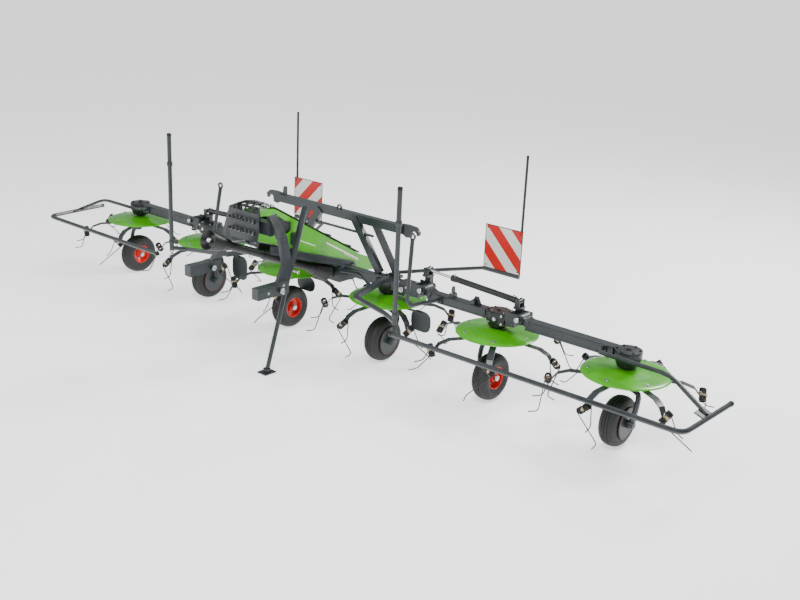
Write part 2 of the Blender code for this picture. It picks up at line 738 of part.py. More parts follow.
# ------------------------------------------------------------------ headstock
def headstock(parent):
    """Two splayed side bars, the swivel block between the boom's fingers and the link boxes."""
    block_low, block_high = 1.32 + GAP, 1.43 - GAP
    block_z = (block_low + block_high) / 2
    pieces = [box(row(0, SWIVEL_Y - 0.02, block_z), (0.54, 0.08, block_high - block_low))]
    pieces.append(rod(row(0, SWIVEL_Y, 1.205), row(0, SWIVEL_Y, 1.512), SWIVEL_PIN_R, 16))
    pieces.append(box(row(0, -1.165, block_z), (0.30, 0.07, 0.06)))
    for s in (-1, 1):
        path = [
            row(s * 0.24, -1.10, 1.475), row(s * 0.34, -1.07, 1.29),
            row(s * 0.405, -1.08, 1.08), row(s * 0.44, -1.20, 0.92),
        ]
        for a, b in zip(path, path[1:]):
            reach = (b - a).normalized() * 0.012
            pieces.append(bar(a - reach, b + reach, 0.09, 0.04, up=(s, 0, 0.25)))
        pieces.append(box(row(s * 0.44, -1.295, 0.91), (0.08, 0.35, 0.10)))
        pieces.append(rod(row(s * 0.375, -1.227, 0.905), row(s * 0.505, -1.227, 0.905), 0.018, 8))
        ear = [(-1.185, 1.40), (-1.185, 1.52), (-1.165, 1.55), (-1.13, 1.53), (-1.105, 1.40)]
        pieces.append(plate_x(ear, s * 0.11 - 0.006, s * 0.11 + 0.006))
    pieces.append(rod(row(-0.14, -1.155, 1.528), row(0.14, -1.155, 1.528), 0.012, 8))
    finish(combine("headstock", pieces), "headstock", ANTHRACITE, row(0, SWIVEL_Y, 0), parent)


def hose_panel(parent):
    """Flat panel across the headstock's mouth that carries the hose couplings."""
    outline = [
        (-0.17, 1.245), (0.17, 1.245), (0.20, 1.36), (0.19, 1.50), (-0.19, 1.50), (-0.20, 1.36),
    ]
    panel = plate_y(outline, -1.20 - GAP - 0.010, -1.20 - GAP)
    finish(panel, "hose_panel", ANTHRACITE, row(0, SWIVEL_Y, 0), parent)


# ------------------------------------------------------------------ wings
def knuckle(hinge):
    """The eye between two ears, with its bore along Y."""
    half = Vector((0, 0.075 - EAR / 2 - GAP * 2, 0))
    return rod(hinge - half, hinge + half, 0.040, 12)


def bored(body, hinge):
    reach = Vector((0, 0.2, 0))
    cut = rod(hinge - reach, hinge + reach, hole_r(HINGE_PIN_R), 16)
    return combine("bored", [body, cut], "DIFFERENCE")


def inner_wing(side, parent):
    """Beam from the fold hinge to the next rotor, and the latch bar it carries in front."""
    s = side
    hinge = row(s * FOLD_X, 0, FOLD_Z)
    end_x = ROTOR_PITCH * 1.5 - DRUM_R - GAP
    start_x = FOLD_X + 0.055
    beam = box(row(s * (start_x + end_x) / 2, 0, BEAM_Z), (end_x - start_x, BEAM, BEAM * 0.9))
    neck = bar(hinge, row(s * (start_x + 0.03), 0, BEAM_Z + 0.012), 0.115, 0.055)
    lugs = [box(row(s * x, 0, BEAM_Z + 0.05), (0.04, 0.07, 0.06)) for x in (1.38, 1.62)]
    body = bored(combine("wing", [beam, knuckle(hinge), neck, *lugs]), hinge)
    finish(body, f"inner_beam_{side_name(side)}", ANTHRACITE, hinge, parent)
    top = row(s * 1.235, -0.418, 1.365)
    pad = box(row(s * 1.27, -BEAM / 2 - GAP - 0.006, 0.752), (0.06, 0.012, 0.07))
    path = [row(s * 1.27, -BEAM / 2 - 0.007, 0.752), row(s * 1.27, -0.45, 0.79), row(s * 1.265, -0.49, 0.85), top]
    ring = turned(
        [(0.032, 0.007), (0.032, -0.007), (0.018, -0.007), (0.018, 0.007)],
        16,
        Matrix.Translation(top + Vector((0, 0, 0.022))) @ Matrix.Rotation(math.pi / 2, 4, "X"),
    )
    latch = combine("latch", [pipe(path, 0.019), pad, ring])
    finish(latch, f"latch_bar_{side_name(side)}", ANTHRACITE, hinge, parent)


def outer_wing(side, parent):
    s = side
    hinge = row(s * TIP_X, 0, TIP_Z)
    end_x = ROTOR_PITCH * 2.5 - DRUM_R - GAP
    start_x = TIP_X + 0.055
    beam = box(
        row(s * (start_x + end_x) / 2, 0, BEAM_Z + 0.005), (end_x - start_x, 0.10, 0.085)
    )
    neck = bar(hinge, row(s * (start_x + 0.03), 0, BEAM_Z + 0.012), 0.115, 0.055)
    body = bored(combine("wing", [beam, knuckle(hinge), neck]), hinge)
    finish(body, f"outer_beam_{side_name(side)}", ANTHRACITE, hinge, parent)


def guard_bar(side, parent):
    """Level tube ahead of the wing rotors and round the machine's end, with its upper carrier tube."""
    s = side
    hinge = row(s * TIP_X, 0, TIP_Z)
    inner = row(s * GUARD_IN[s], GUARD_Y, GUARD_Z)
    corner = row(s * GUARD_OUT, GUARD_Y + 0.015, GUARD_Z)
    end = row(s * (GUARD_OUT + 0.02), 0.08, GUARD_Z + 0.01)
    tube = pipe([inner, *bend(inner, corner, end, 0.09, 4), end], GUARD_R)
    beam_x = ROTOR_PITCH * 2.5 - DRUM_R - 0.09
    pad = box(row(s * beam_x, -0.05 - GAP - 0.006, 0.762), (0.07, 0.012, 0.07))
    start = row(s * beam_x, -0.057, 0.768)
    run = row(s * (beam_x + 0.02), -0.165, 0.775)
    knee = row(s * 3.58, -0.17, 0.77)
    low = row(s * (GUARD_OUT - 0.01), -0.27, GUARD_Z + 0.02)
    upper = pipe([start, *bend(start, run, knee, 0.04), *bend(run, knee, low, 0.08), low], 0.018)
    web_start, web_end = row(s * (GUARD_OUT - 0.08), -0.27, 0.618), row(s * (GUARD_OUT + 0.008), -0.27, 0.586)
    web = bar(web_start, web_end, 0.14, 0.012)
    finish(combine("guard", [tube, upper, pad, web]), f"guard_bar_{side_name(side)}", ANTHRACITE, hinge, parent)


# ------------------------------------------------------------------ fold cylinders
def fold_cylinder(side, rod_parent, barrel_parent):
    """Rod on its pin above the fold hinge, and the barrel with its cross pin in the wing's clevis."""
    inner_pin, outer_pin = cylinder_pins(side)
    along = (outer_pin - inner_pin).normalized()
    across = Vector((0, 1, 0))
    eye = rod(inner_pin - across * 0.028, inner_pin + across * 0.028, 0.026, 16)
    stem = rod(inner_pin + along * 0.015, inner_pin + along * RAM_END, RAM_R, 12)
    ram = combine("ram", [eye, stem])
    pin_cut = rod(inner_pin - across * 0.1, inner_pin + across * 0.1, hole_r(0.012, 12), 12)
    ram = combine("ram", [ram, pin_cut], "DIFFERENCE")
    finish(ram, f"fold_rod_{side_name(side)}", STEEL, inner_pin, rod_parent)
    mouth = inner_pin + along * BARREL_START
    body = rod(mouth, outer_pin - along * EYE_REACH, BARREL_R, 16)
    neck = rod(outer_pin - along * (EYE_REACH + 0.01), outer_pin, 0.018, 12)
    cross_pin = rod(outer_pin - across * 0.026, outer_pin + across * 0.026, 0.022, 12)
    barrel = combine("barrel", [body, neck, cross_pin])
    bore = rod(mouth - along * 0.01, inner_pin + along * (RAM_END + 0.24), hole_r(RAM_R, 12), 12)
    barrel = combine("barrel", [barrel, bore], "DIFFERENCE")
    finish(barrel, f"fold_barrel_{side_name(side)}", BLACK, outer_pin, barrel_parent)


def side_name(side):
    return "right" if side > 0 else "left"


# ------------------------------------------------------------------ build
def build():
    root = pivot_empty("machine", Vector((0, 0, 0)))
    tyre, rim, disc = tyre_mesh(), rim_mesh(), disc_mesh()
    even_arms, odd_arms = arms_mesh(1), arms_mesh(-1)

    centre_beam()
    boom()
    stop_frame()
    pto_shaft()
    stand_sleeve()
    stand_leg(pivot_empty("stand_slide", row(*STAND_TOP), root))
    swivel = pivot_empty("headstock_swivel", row(0, SWIVEL_Y, 0), root)
    headstock(swivel)
    hose_panel(swivel)

    for side in (1, -1):
        fold_at = row(side * FOLD_X, 0, FOLD_Z)
        tip_at = row(side * TIP_X, 0, TIP_Z)
        fold = pivot_empty(f"fold_hinge_{side_name(side)}", fold_at, root)
        tip = pivot_empty(f"tip_hinge_{side_name(side)}", tip_at, fold)
        inner_pin, outer_pin = cylinder_pins(side)
        ram = pivot_empty(f"inner_pin_{side_name(side)}", inner_pin, root)
        barrel = pivot_empty(f"outer_pin_{side_name(side)}", outer_pin, ram)
        numbers = (4, 5, 6) if side > 0 else (3, 2, 1)
        holders = (root, fold, tip)
        strut_sides = (side, -side, side)
        hinges = ((fold_at, side), (tip_at, side), None)
        for k in range(3):
            x = side * ROTOR_PITCH * (k + 0.5)
            number = numbers[k]
            extra = hinges[k]
            rotor_gearbox(number, x, strut_sides[k], holders[k], extra)
            place_rotor(number, x, disc, even_arms if number % 2 == 0 else odd_arms, holders[k])
            place_wheel(number, x, -strut_sides[k], tyre, rim, holders[k])
        front_guard(side)
        board_carrier(side)
        warning_board(side)
        inner_wing(side, fold)
        outer_wing(side, tip)
        guard_bar(side, tip)
        fold_cylinder(side, ram, barrel)


build()
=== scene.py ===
# %% [markdown]
# # A six-rotor hay tedder
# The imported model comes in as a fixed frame: every steel part is already in place and in metres.
# This lesson gives it its looks. Some parts keep their shape and get softer edges, others are
# modelled again with round sections, and small fittings such as bolts and clamps are added.

# %% Load the frame
import json
import math

import bpy
from mathutils import Matrix, Vector


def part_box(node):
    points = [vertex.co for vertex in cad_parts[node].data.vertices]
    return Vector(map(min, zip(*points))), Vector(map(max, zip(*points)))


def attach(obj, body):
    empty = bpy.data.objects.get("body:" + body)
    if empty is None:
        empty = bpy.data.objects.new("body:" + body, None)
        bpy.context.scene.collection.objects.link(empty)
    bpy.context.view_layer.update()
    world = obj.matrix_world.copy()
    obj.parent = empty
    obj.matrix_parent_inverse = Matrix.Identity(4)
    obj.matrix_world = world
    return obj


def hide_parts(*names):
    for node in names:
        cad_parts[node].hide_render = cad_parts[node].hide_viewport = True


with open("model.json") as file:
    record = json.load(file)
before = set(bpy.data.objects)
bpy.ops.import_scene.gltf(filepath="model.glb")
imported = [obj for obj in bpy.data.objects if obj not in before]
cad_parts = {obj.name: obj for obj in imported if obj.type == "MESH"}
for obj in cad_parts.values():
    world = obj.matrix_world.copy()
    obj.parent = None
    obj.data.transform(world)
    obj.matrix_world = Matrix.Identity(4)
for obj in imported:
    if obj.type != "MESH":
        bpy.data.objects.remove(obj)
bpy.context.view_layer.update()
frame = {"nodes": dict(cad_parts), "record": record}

nodes = frame["nodes"]
body_of = {}
for body, names in frame["record"]["behaviour"]["bodies"].items():
    for name in names:
        body_of[name] = body


def middle(node):
    """The centre of a node's box."""
    low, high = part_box(node)
    return (Vector(low) + Vector(high)) / 2


ROTORS = (1, 2, 3, 4, 5, 6)
SIDES = {"right": 1, "left": -1}
rotor_at = {n: middle(f"rotor_disc_{n}") for n in ROTORS}
wheel_at = {n: middle(f"tyre_{n}") for n in ROTORS}
ROW_Y = rotor_at[4].y


def row(x, y, z):
    """A place measured from the rotor row, which is how the machine was drawn."""
    return Vector((x, ROW_Y + y, z))


# %% [markdown]
# ## Camera, light and floor
# A brochure picture of a machine this wide is taken from the front corner, a little above eye
# height, with a moderately long lens. The camera's axes are built from its yaw, pitch and roll,
# which is easier to correct than a tangle of Euler angles. Large area lights and a pale world
# give the even light of a white studio.

# %% Camera
YAW, PITCH, ROLL = -0.7001, 0.3242, 0.0443
CAMERA_AT = Vector((6.85, -6.8299, 3.7831))

look = Vector((math.sin(YAW) * math.cos(PITCH), math.cos(YAW) * math.cos(PITCH), -math.sin(PITCH)))
level = Vector((math.cos(YAW), -math.sin(YAW), 0))
upward = level.cross(look)
right_axis = level * math.cos(ROLL) + upward * math.sin(ROLL)
up_axis = upward * math.cos(ROLL) - level * math.sin(ROLL)

camera = bpy.data.objects.new("camera", bpy.data.cameras.new("camera"))
bpy.context.collection.objects.link(camera)
camera.data.sensor_width = 36
camera.data.lens = 48.83
turn = Matrix((right_axis, up_axis, -look)).transposed().to_4x4()
camera.matrix_world = Matrix.Translation(CAMERA_AT) @ turn
bpy.context.scene.camera = camera
print("camera", round((CAMERA_AT - row(0, 0, 0.7)).length, 2), "m from the machine")

# %% Lights and world
TARGET = row(0, -0.3, 0.7)


def soft_light(name, place, size, watts):
    """A square area light that faces the machine."""
    light = bpy.data.lights.new(name, "AREA")
    light.size = size
    light.energy = watts
    lamp = bpy.data.objects.new(name, light)
    bpy.context.collection.objects.link(lamp)
    lamp.location = place
    lamp.rotation_mode = "QUATERNION"
    lamp.rotation_quaternion = (TARGET - lamp.location).to_track_quat("-Z", "Y")
    return lamp


soft_light("key_light", Vector((3.5, -4.5, 8.0)), 4, 760)
soft_light("fill_light", Vector((-6.0, -6.0, 5.0)), 5, 260)
soft_light("back_light", Vector((3.5, 7.0, 7.5)), 3, 1050)
world = bpy.data.worlds.new("white_studio")
bpy.context.scene.world = world
world.use_nodes = True
world.node_tree.nodes["Background"].inputs["Color"].default_value = (0.93, 0.95, 0.97, 1)
world.node_tree.nodes["Background"].inputs["Strength"].default_value = 0.55
print("three area lights and a pale world")

# %% [markdown]
# ## Materials
# A finish is named for what the real one is. Each keeps one idea: two close shades that drift
# into each other over a real distance, a grain of a real size in millimetres, and a roughness
# that wanders with the shades. Paint on steel, rubber and plastic differ in those numbers only.

# %% Colour and node helpers
def linear(hex_text):
    """An sRGB hex colour as the linear values that shaders take."""
    channels = [int(hex_text[i:i + 2], 16) / 255 for i in (1, 3, 5)]
    curve = [c / 12.92 if c <= 0.04045 else ((c + 0.055) / 1.055) ** 2.4 for c in channels]
    return (*curve, 1.0)


def add_node(tree, kind, settings=None, inputs=None):
    """Adds one node, sets its options, and fills or links its sockets."""
    node = tree.nodes.new(kind)
    for name, value in (settings or {}).items():
        setattr(node, name, value)
    for key, value in (inputs or {}).items():
        if isinstance(value, bpy.types.NodeSocket):
            tree.links.new(value, node.inputs[key])
        else:
            node.inputs[key].default_value = value
    return node


def per_mm(size):
    """Noise scale whose blotches are about this many millimetres across."""
    return 1000 / size


# %% One function for every coated surface
def surface(name, shades, drift_mm, rough, grain_mm, grain_depth_mm, metallic=0.0, coat=0.0):
    """Two shades that drift over drift_mm, under a grain of grain_mm."""
    material = bpy.data.materials.new(name)
    material.use_nodes = True
    tree = material.node_tree
    shader = tree.nodes["Principled BSDF"]
    shader.inputs["Metallic"].default_value = metallic
    shader.inputs["Coat Weight"].default_value = coat
    shader.inputs["Coat Roughness"].default_value = 0.06
    place = add_node(tree, "ShaderNodeTexCoord").outputs["Object"]
    noise = {"Vector": place, "Scale": per_mm(drift_mm), "Detail": 4.0}
    blotches = add_node(tree, "ShaderNodeTexNoise", {}, noise).outputs["Fac"]
    spread = {"Value": blotches, "From Min": 0.35, "From Max": 0.65}
    drift = add_node(tree, "ShaderNodeMapRange", {}, spread).outputs["Result"]
    colours = {0: drift, 6: linear(shades[0]), 7: linear(shades[1])}
    mixed = add_node(tree, "ShaderNodeMix", {"data_type": "RGBA"}, colours).outputs[2]
    tree.links.new(mixed, shader.inputs["Base Color"])
    limits = {"Value": blotches, "From Min": 0.3, "From Max": 0.7, "To Min": rough[0], "To Max": rough[1]}
    roughness = add_node(tree, "ShaderNodeMapRange", {}, limits).outputs["Result"]
    tree.links.new(roughness, shader.inputs["Roughness"])
    fine = {"Vector": place, "Scale": per_mm(grain_mm), "Detail": 2.0}
    grain = add_node(tree, "ShaderNodeTexNoise", {}, fine).outputs["Fac"]
    relief = {"Height": grain, "Distance": grain_depth_mm / 1000, "Strength": 0.6}
    bump = add_node(tree, "ShaderNodeBump", {}, relief).outputs["Normal"]
    tree.links.new(bump, shader.inputs["Normal"])
    return material


# %% Paints
# Powder coat on welded steel: a hard dark skin with a slight orange peel.
FRAME = surface("powder_coated_steel", ("#1F2427", "#282E31"), 120, (0.3, 0.42), 3.0, 0.03)
# Stove enamel over pressed sheet: a wet, saturated gloss.
GREEN = surface("green_stove_enamel", ("#3F9A04", "#48A508"), 200, (0.26, 0.34), 6.0, 0.01, coat=0.1)
RED = surface("red_stove_enamel", ("#C4150F", "#D41D14"), 80, (0.24, 0.34), 4.0, 0.01, coat=0.3)
# Rougher than the red above and much darker: the dark colour is painted shade for the red ring that shows at
# the strut-side plate.
SHADED_RED = surface("red_enamel_in_painted_shade", ("#5E1513", "#6E1A17"), 60, (0.4, 0.5), 4.0, 0.01)
# Thin satin black on the hydraulic barrels and castings.
SATIN = surface("satin_black_paint", ("#141618", "#1D2022"), 70, (0.3, 0.42), 2.5, 0.02)
CREAM = surface("cream_vinyl_film", ("#E6E3D2", "#DAD7C5"), 60, (0.3, 0.4), 3.0, 0.01)

# %% Metals, rubber and plastics
# Zinc plate is bright but never even; chrome on a ground rod is close to a mirror.
ZINC = surface("bright_zinc_plate", ("#C6CACC", "#A4A9AC"), 14, (0.24, 0.4), 1.5, 0.01, metallic=1.0)
GROUND_STEEL = ("#DADCDE", "#CBCED0")
CHROME = surface("hard_chrome_on_ground_steel", GROUND_STEEL, 60, (0.08, 0.15), 3.0, 0.004, metallic=1.0)
# Oiled spring wire, drawn and then wound.
SPRING = surface("black_oiled_spring_steel", ("#111213", "#1C1D1F"), 25, (0.32, 0.5), 2.0, 0.02, metallic=0.3)
RUBBER = surface("vulcanised_rubber", ("#151515", "#1E1E1E"), 45, (0.55, 0.75), 2.2, 0.06)
PLASTIC = surface("moulded_black_polyethylene", ("#060708", "#0B0C0D"), 90, (0.36, 0.44), 6.0, 0.002)
NYLON = surface("glass_filled_beige_nylon", ("#B6A583", "#A39373"), 18, (0.45, 0.6), 1.5, 0.03)
HOSE = surface("braided_hose_rubber", ("#101112", "#1A1B1C"), 15, (0.45, 0.6), 1.8, 0.08)

# %% [markdown]
# ## Floor
# The floor is one pale plane, wide enough to reach the top of the picture. Its colour hardly
# changes, because a studio floor should not draw the eye, but it still has a faint mottle.

# %% Floor
FLOOR_SIZE = 400
FLOOR_GLOW = 0.95          # a studio floor is lit from below as well, so that shadows stay pale


def deselect():
    """Back to object mode with nothing selected."""
    if bpy.context.object and bpy.context.object.mode != "OBJECT":
        bpy.ops.object.mode_set(mode="OBJECT")
    bpy.ops.object.select_all(action="DESELECT")


deselect()
bpy.ops.mesh.primitive_plane_add(size=FLOOR_SIZE)
floor = bpy.context.object
floor.name = "studio_floor"
floor_paint = surface("matt_white_floor", ("#F1F2F2", "#EDEEEF"), 900, (0.7, 0.8), 8.0, 0.02)
floor.data.materials.append(floor_paint)
glow = floor_paint.node_tree.nodes["Principled BSDF"].inputs
glow["Emission Color"].default_value = (1, 1, 1, 1)
glow["Emission Strength"].default_value = FLOOR_GLOW
print("floor", FLOOR_SIZE, "m")

# %% [markdown]
# ## Tools for modelling
# A handful of helpers do what a person does with the mouse: add a primitive at its size, choose
# faces by where they point, extrude, round the edges, and copy what repeats. A finished piece
# keeps its object at the origin, so its place is in its mesh.

# %% Selecting and applying
def activate(obj):
    deselect()
    obj.select_set(True)
    bpy.context.view_layer.objects.active = obj


def choose_faces(obj, wanted):
    """Enters edit mode with only the faces selected for which wanted(centre, normal) is true."""
    activate(obj)
    bpy.ops.object.mode_set(mode="EDIT")
    bpy.ops.mesh.select_mode(type="FACE")
    bpy.ops.mesh.select_all(action="DESELECT")
    bpy.ops.object.mode_set(mode="OBJECT")
    for face in obj.data.polygons:
        face.select = bool(wanted(face.center, face.normal))
    bpy.ops.object.mode_set(mode="EDIT")


def apply_all(obj):
    activate(obj)
    bpy.ops.object.transform_apply(location=True, rotation=True, scale=True)


def round_edges(obj, width, segments=2, angle=35):
    """Bevels every edge sharper than angle, applies it and shades the result smooth."""
    activate(obj)
    bevel = obj.modifiers.new("rounding", "BEVEL")
    bevel.width = width
    bevel.segments = segments
    bevel.limit_method = "ANGLE"
    bevel.angle_limit = math.radians(angle)
    bpy.ops.object.modifier_apply(modifier=bevel.name)
    bpy.ops.object.shade_smooth_by_angle(angle=math.radians(angle))
    weighted = obj.modifiers.new("flat_faces_stay_flat", "WEIGHTED_NORMAL")
    weighted.keep_sharp = True
    bpy.ops.object.modifier_apply(modifier=weighted.name)
    return obj


# %% Starting shapes
def start_box(name, centre, size):
    deselect()
    bpy.ops.mesh.primitive_cube_add(size=1, location=centre)
    obj = bpy.context.object
    obj.name = name
    obj.scale = size
    apply_all(obj)
    return obj


def start_disc(name, radius, height, sides):
    """An upright cylinder that stands on the origin."""
    deselect()
    middle_up = (0, 0, height / 2)
    bpy.ops.mesh.primitive_cylinder_add(vertices=sides, radius=radius, depth=height, location=middle_up)
    obj = bpy.context.object
    obj.name = name
    apply_all(obj)
    return obj


def turned(name, outline, steps):
    """Draws the (radius, height) outline point by point, closes it and spins it about Z."""
    deselect()
    bpy.ops.mesh.primitive_plane_add(size=0.01)
    obj = bpy.context.object
    obj.name = name
    bpy.ops.object.mode_set(mode="EDIT")
    bpy.ops.mesh.select_mode(type="VERT")
    bpy.ops.mesh.select_all(action="SELECT")
    bpy.ops.mesh.merge(type="CENTER")
    places = [Vector((radius, 0, height)) for radius, height in (*outline, outline[0])]
    bpy.ops.transform.translate(value=places[0])
    for before, after in zip(places, places[1:]):
        bpy.ops.mesh.extrude_vertices_move(TRANSFORM_OT_translate={"value": after - before})
    bpy.ops.mesh.select_all(action="SELECT")
    bpy.ops.mesh.remove_doubles(threshold=0.00001)
    bpy.ops.mesh.select_all(action="SELECT")
    bpy.ops.mesh.spin(steps=steps, angle=math.tau, center=(0, 0, 0), axis=(0, 0, 1))
    bpy.ops.mesh.select_all(action="SELECT")
    bpy.ops.mesh.remove_doubles(threshold=0.00002)
    bpy.ops.mesh.normals_make_consistent(inside=False)
    bpy.ops.object.mode_set(mode="OBJECT")
    bpy.ops.object.shade_smooth_by_angle(angle=math.radians(35))
    return obj


# %% Tubes along a path
def rounded(points, radius, steps=4):
    """The same path with its corners rounded off, as a tube bender leaves them."""
    path = [points[0]]
    for before, corner, after in zip(points, points[1:], points[2:]):
        start = corner + (before - corner).normalized() * radius
        end = corner + (after - corner).normalized() * radius
        for k in range(steps + 1):
            t = k / steps
            path.append(start * (1 - t) ** 2 + corner * 2 * t * (1 - t) + end * t ** 2)
    path.append(points[-1])
    return path


def tube(name, points, radius, sides=8):
    """A round tube through the points, made as a curve and turned into a mesh."""
    curve = bpy.data.curves.new(name, "CURVE")
    curve.dimensions = "3D"
    curve.bevel_depth = radius
    curve.bevel_resolution = (sides - 4) // 2
    curve.use_fill_caps = True
    spline = curve.splines.new("POLY")
    spline.points.add(len(points) - 1)
    for point, place in zip(spline.points, points):
        point.co = (*place, 1)
    obj = bpy.data.objects.new(name, curve)
    bpy.context.collection.objects.link(obj)
    activate(obj)
    bpy.ops.object.convert(target="MESH")
    bpy.ops.object.shade_smooth_by_angle(angle=math.radians(50))
    return bpy.context.object


# %% Copying, joining and finishing
def copied(source, name, matrix):
    """A copy with its own mesh, moved by changing its mesh."""
    obj = source.copy()
    obj.data = source.data.copy()
    obj.name = name
    obj.data.transform(matrix)
    if matrix.determinant() < 0:
        obj.data.flip_normals()
    bpy.context.collection.objects.link(obj)
    return obj


def joined(name, pieces):
    """One object out of several; the first gives its place and the rest keep their finishes."""
    deselect()
    for piece in pieces:
        piece.select_set(True)
    bpy.context.view_layer.objects.active = pieces[0]
    bpy.ops.object.join()
    pieces[0].name = name
    return pieces[0]


def coat(obj, material):
    obj.data.materials.clear()
    obj.data.materials.append(material)
    return obj


def mount(obj, body, *stands_for):
    """Fixes a finished piece to a body, and hides the nodes that it stands for."""
    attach(obj, body)
    if stands_for:
        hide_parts(*stands_for)
    return obj


def aimed(place, direction):
    """A matrix that stands a piece at place with its Z axis along direction."""
    return Matrix.Translation(place) @ direction.to_track_quat("Z", "Y").to_matrix().to_4x4()


UP = Vector((0, 0, 1))

# %% [markdown]
# ## The welded frame
# Beams, legs and brackets are plain steel sections, and their shape is already right. What a
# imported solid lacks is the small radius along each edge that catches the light, so a copy of
# each is merged, cleaned of needless edges, rounded by a few millimetres and shaded smooth.

# %% Soften the frame's parts
def softened(node, width, material):
    """A copy of a node with small radii along its edges."""
    obj = nodes[node].copy()
    obj.data = nodes[node].data.copy()
    obj.name = f"{node}_finished"
    obj.parent = None
    obj.matrix_world = Matrix.Identity(4)
    bpy.context.collection.objects.link(obj)
    activate(obj)
    bpy.ops.mesh.customdata_custom_splitnormals_clear()
    bpy.ops.object.mode_set(mode="EDIT")
    bpy.ops.mesh.select_all(action="SELECT")
    bpy.ops.mesh.remove_doubles(threshold=0.00002)
    bpy.ops.mesh.dissolve_limited(angle_limit=math.radians(0.6))
    bpy.ops.object.mode_set(mode="OBJECT")
    round_edges(obj, width, 2, 47)
    coat(obj, material)
    return mount(obj, body_of[node], node)


FRAME_NODES = ["fold_stop_frame", "stand_sleeve", "stand_leg", "headstock", "hose_panel", "centre_beam"]
for side in SIDES:
    FRAME_NODES += [f"{name}_{side}" for name in ("inner_beam", "outer_beam", "latch_bar", "guard_bar")]
    FRAME_NODES += [f"front_guard_{side}", f"board_carrier_{side}"]
FRAME_NODES += [f"rotor_gearbox_{n}" for n in ROTORS]
for node in FRAME_NODES:
    softened(node, 0.0025, FRAME)
softened("swan_neck_boom", 0.007, GREEN)
print(len(FRAME_NODES) + 1, "frame parts softened")

# %% [markdown]
# ## Bolts
# Nearly every joint on the machine is a zinc-plated hexagon bolt on a washer. One is modelled
# from two short cylinders: the head's top is inset and lifted a little for its chamfer, and the
# washer's rim is rounded. Every other bolt is a copy, larger or smaller.

# %% One bolt, and a way to set many
def hex_bolt():
    """An M10 bolt head on its washer, standing on the origin."""
    head = start_disc("bolt_head", 0.0095, 0.0085, 6)
    choose_faces(head, lambda centre, normal: normal.z > 0.9)
    bpy.ops.mesh.inset(thickness=0.0016)
    bpy.ops.transform.translate(value=(0, 0, 0.0008))
    washer = start_disc("washer", 0.0125, 0.002, 20)
    round_edges(washer, 0.0006, 1)
    return coat(joined("hex_bolt", [head, washer]), ZINC)


bolt = hex_bolt()


def bolts(name, places, size=1.0):
    """One object with a bolt at each (place, direction)."""
    copies = []
    for place, direction in places:
        turn = aimed(place, direction) @ Matrix.Scale(size, 4)
        copies.append(copied(bolt, name, turn))
    return joined(name, copies)


def ring_of(centre, radius, count, start=0.0):
    """Places evenly round a circle that lies level."""
    angles = [start + k * math.tau / count for k in range(count)]
    return [centre + Vector((math.cos(a), math.sin(a), 0)) * radius for a in angles]


print("bolt master", len(bolt.data.polygons), "faces")

# %% [markdown]
# ## Rotor discs
# Each rotor carries a pressed steel dish in bright enamel. Pressing gives it a soft shoulder
# near the hub, a shallow step halfway and a rolled lip. That is a turned shape, so its outline
# is drawn once and spun. Six bolts hold it to the arms below.

# %% Spin the dish
DISC_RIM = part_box("rotor_disc_4")[1][0] - rotor_at[4].x
HUB_TOP = 0.648
DISC_OUTLINE = [
    (0.046, HUB_TOP), (0.108, HUB_TOP), (0.122, 0.6472), (0.136, 0.6442), (0.196, 0.6362),
    (0.206, 0.6336), (0.216, 0.6318), (0.300, 0.6216), (0.328, 0.6172), (0.346, 0.6122),
    (0.3575, 0.6068), (0.3598, 0.6030), (0.3575, 0.6002), (0.3530, 0.6012), (0.3460, 0.6062),
    (0.328, 0.6116), (0.216, 0.6262), (0.136, 0.6382), (0.079, 0.6390), (0.0785, 0.5602), (0.046, 0.5602),
]
dish = coat(turned("dish", DISC_OUTLINE, 72), GREEN)
BOLT_CIRCLE = 0.302
for n in ROTORS:
    centre = Vector((rotor_at[n].x, ROW_Y, 0))
    own = copied(dish, f"dish_{n}", Matrix.Translation(centre))
    mount(own, f"rotor_{n}", f"rotor_disc_{n}")
    start = math.pi / 6 if n % 2 == 0 else 0.0
    places = ring_of(centre + UP * 0.6214, BOLT_CIRCLE, 6, start)
    tilted = [(p, (p - centre - UP * 0.62).normalized() * 0.12 + UP) for p in places]
    mount(bolts(f"dish_bolts_{n}", tilted, 1.25), f"rotor_{n}")
bpy.data.objects.remove(dish)
print("six dishes of radius", round(DISC_RIM, 3))

# %% [markdown]
# ## Tine arms
# Under each dish six flat arms reach out and bend down at their ends. A clamp there holds one
# piece of spring wire that is wound into two coils, and its two ends are the tines that comb
# the grass. The arm is a box extruded twice; the wire is a path through both coils, which a
# loop works out from the coil's radius and pitch.

# %% The flat arm
ARM_Z = 0.572
COIL_AT = Vector((0.600, 0, 0.487))


def arm_bar():
    """A flat bar from the hub ring to the coil clamp, along +X."""
    bar = start_box("arm_bar", (0.28, 0, ARM_Z), (0.32, 0.058, 0.010))
    for step, narrow in (((0.09, 0, -0.030), 0.92), ((0.045, 0, -0.055), 0.85)):
        reach = max(v.co.x for v in bar.data.vertices)
        choose_faces(bar, lambda centre, normal: normal.x > 0.5 and centre.x > reach - 0.001)
        bpy.ops.mesh.extrude_region_move(TRANSFORM_OT_translate={"value": step})
        bpy.ops.transform.resize(value=(1, narrow, 1))
        bpy.ops.object.mode_set(mode="OBJECT")
    return coat(round_edges(bar, 0.002, 2, 30), FRAME)


# %% The wound wire
WIRE_R = 0.0046
WIND_R = 0.0262
TURNS = 5
PITCH_STEP = 0.0088
TINE_SWEEP, TINE_DROP, TINE_FOOT = 0.165, 0.222, 0.080


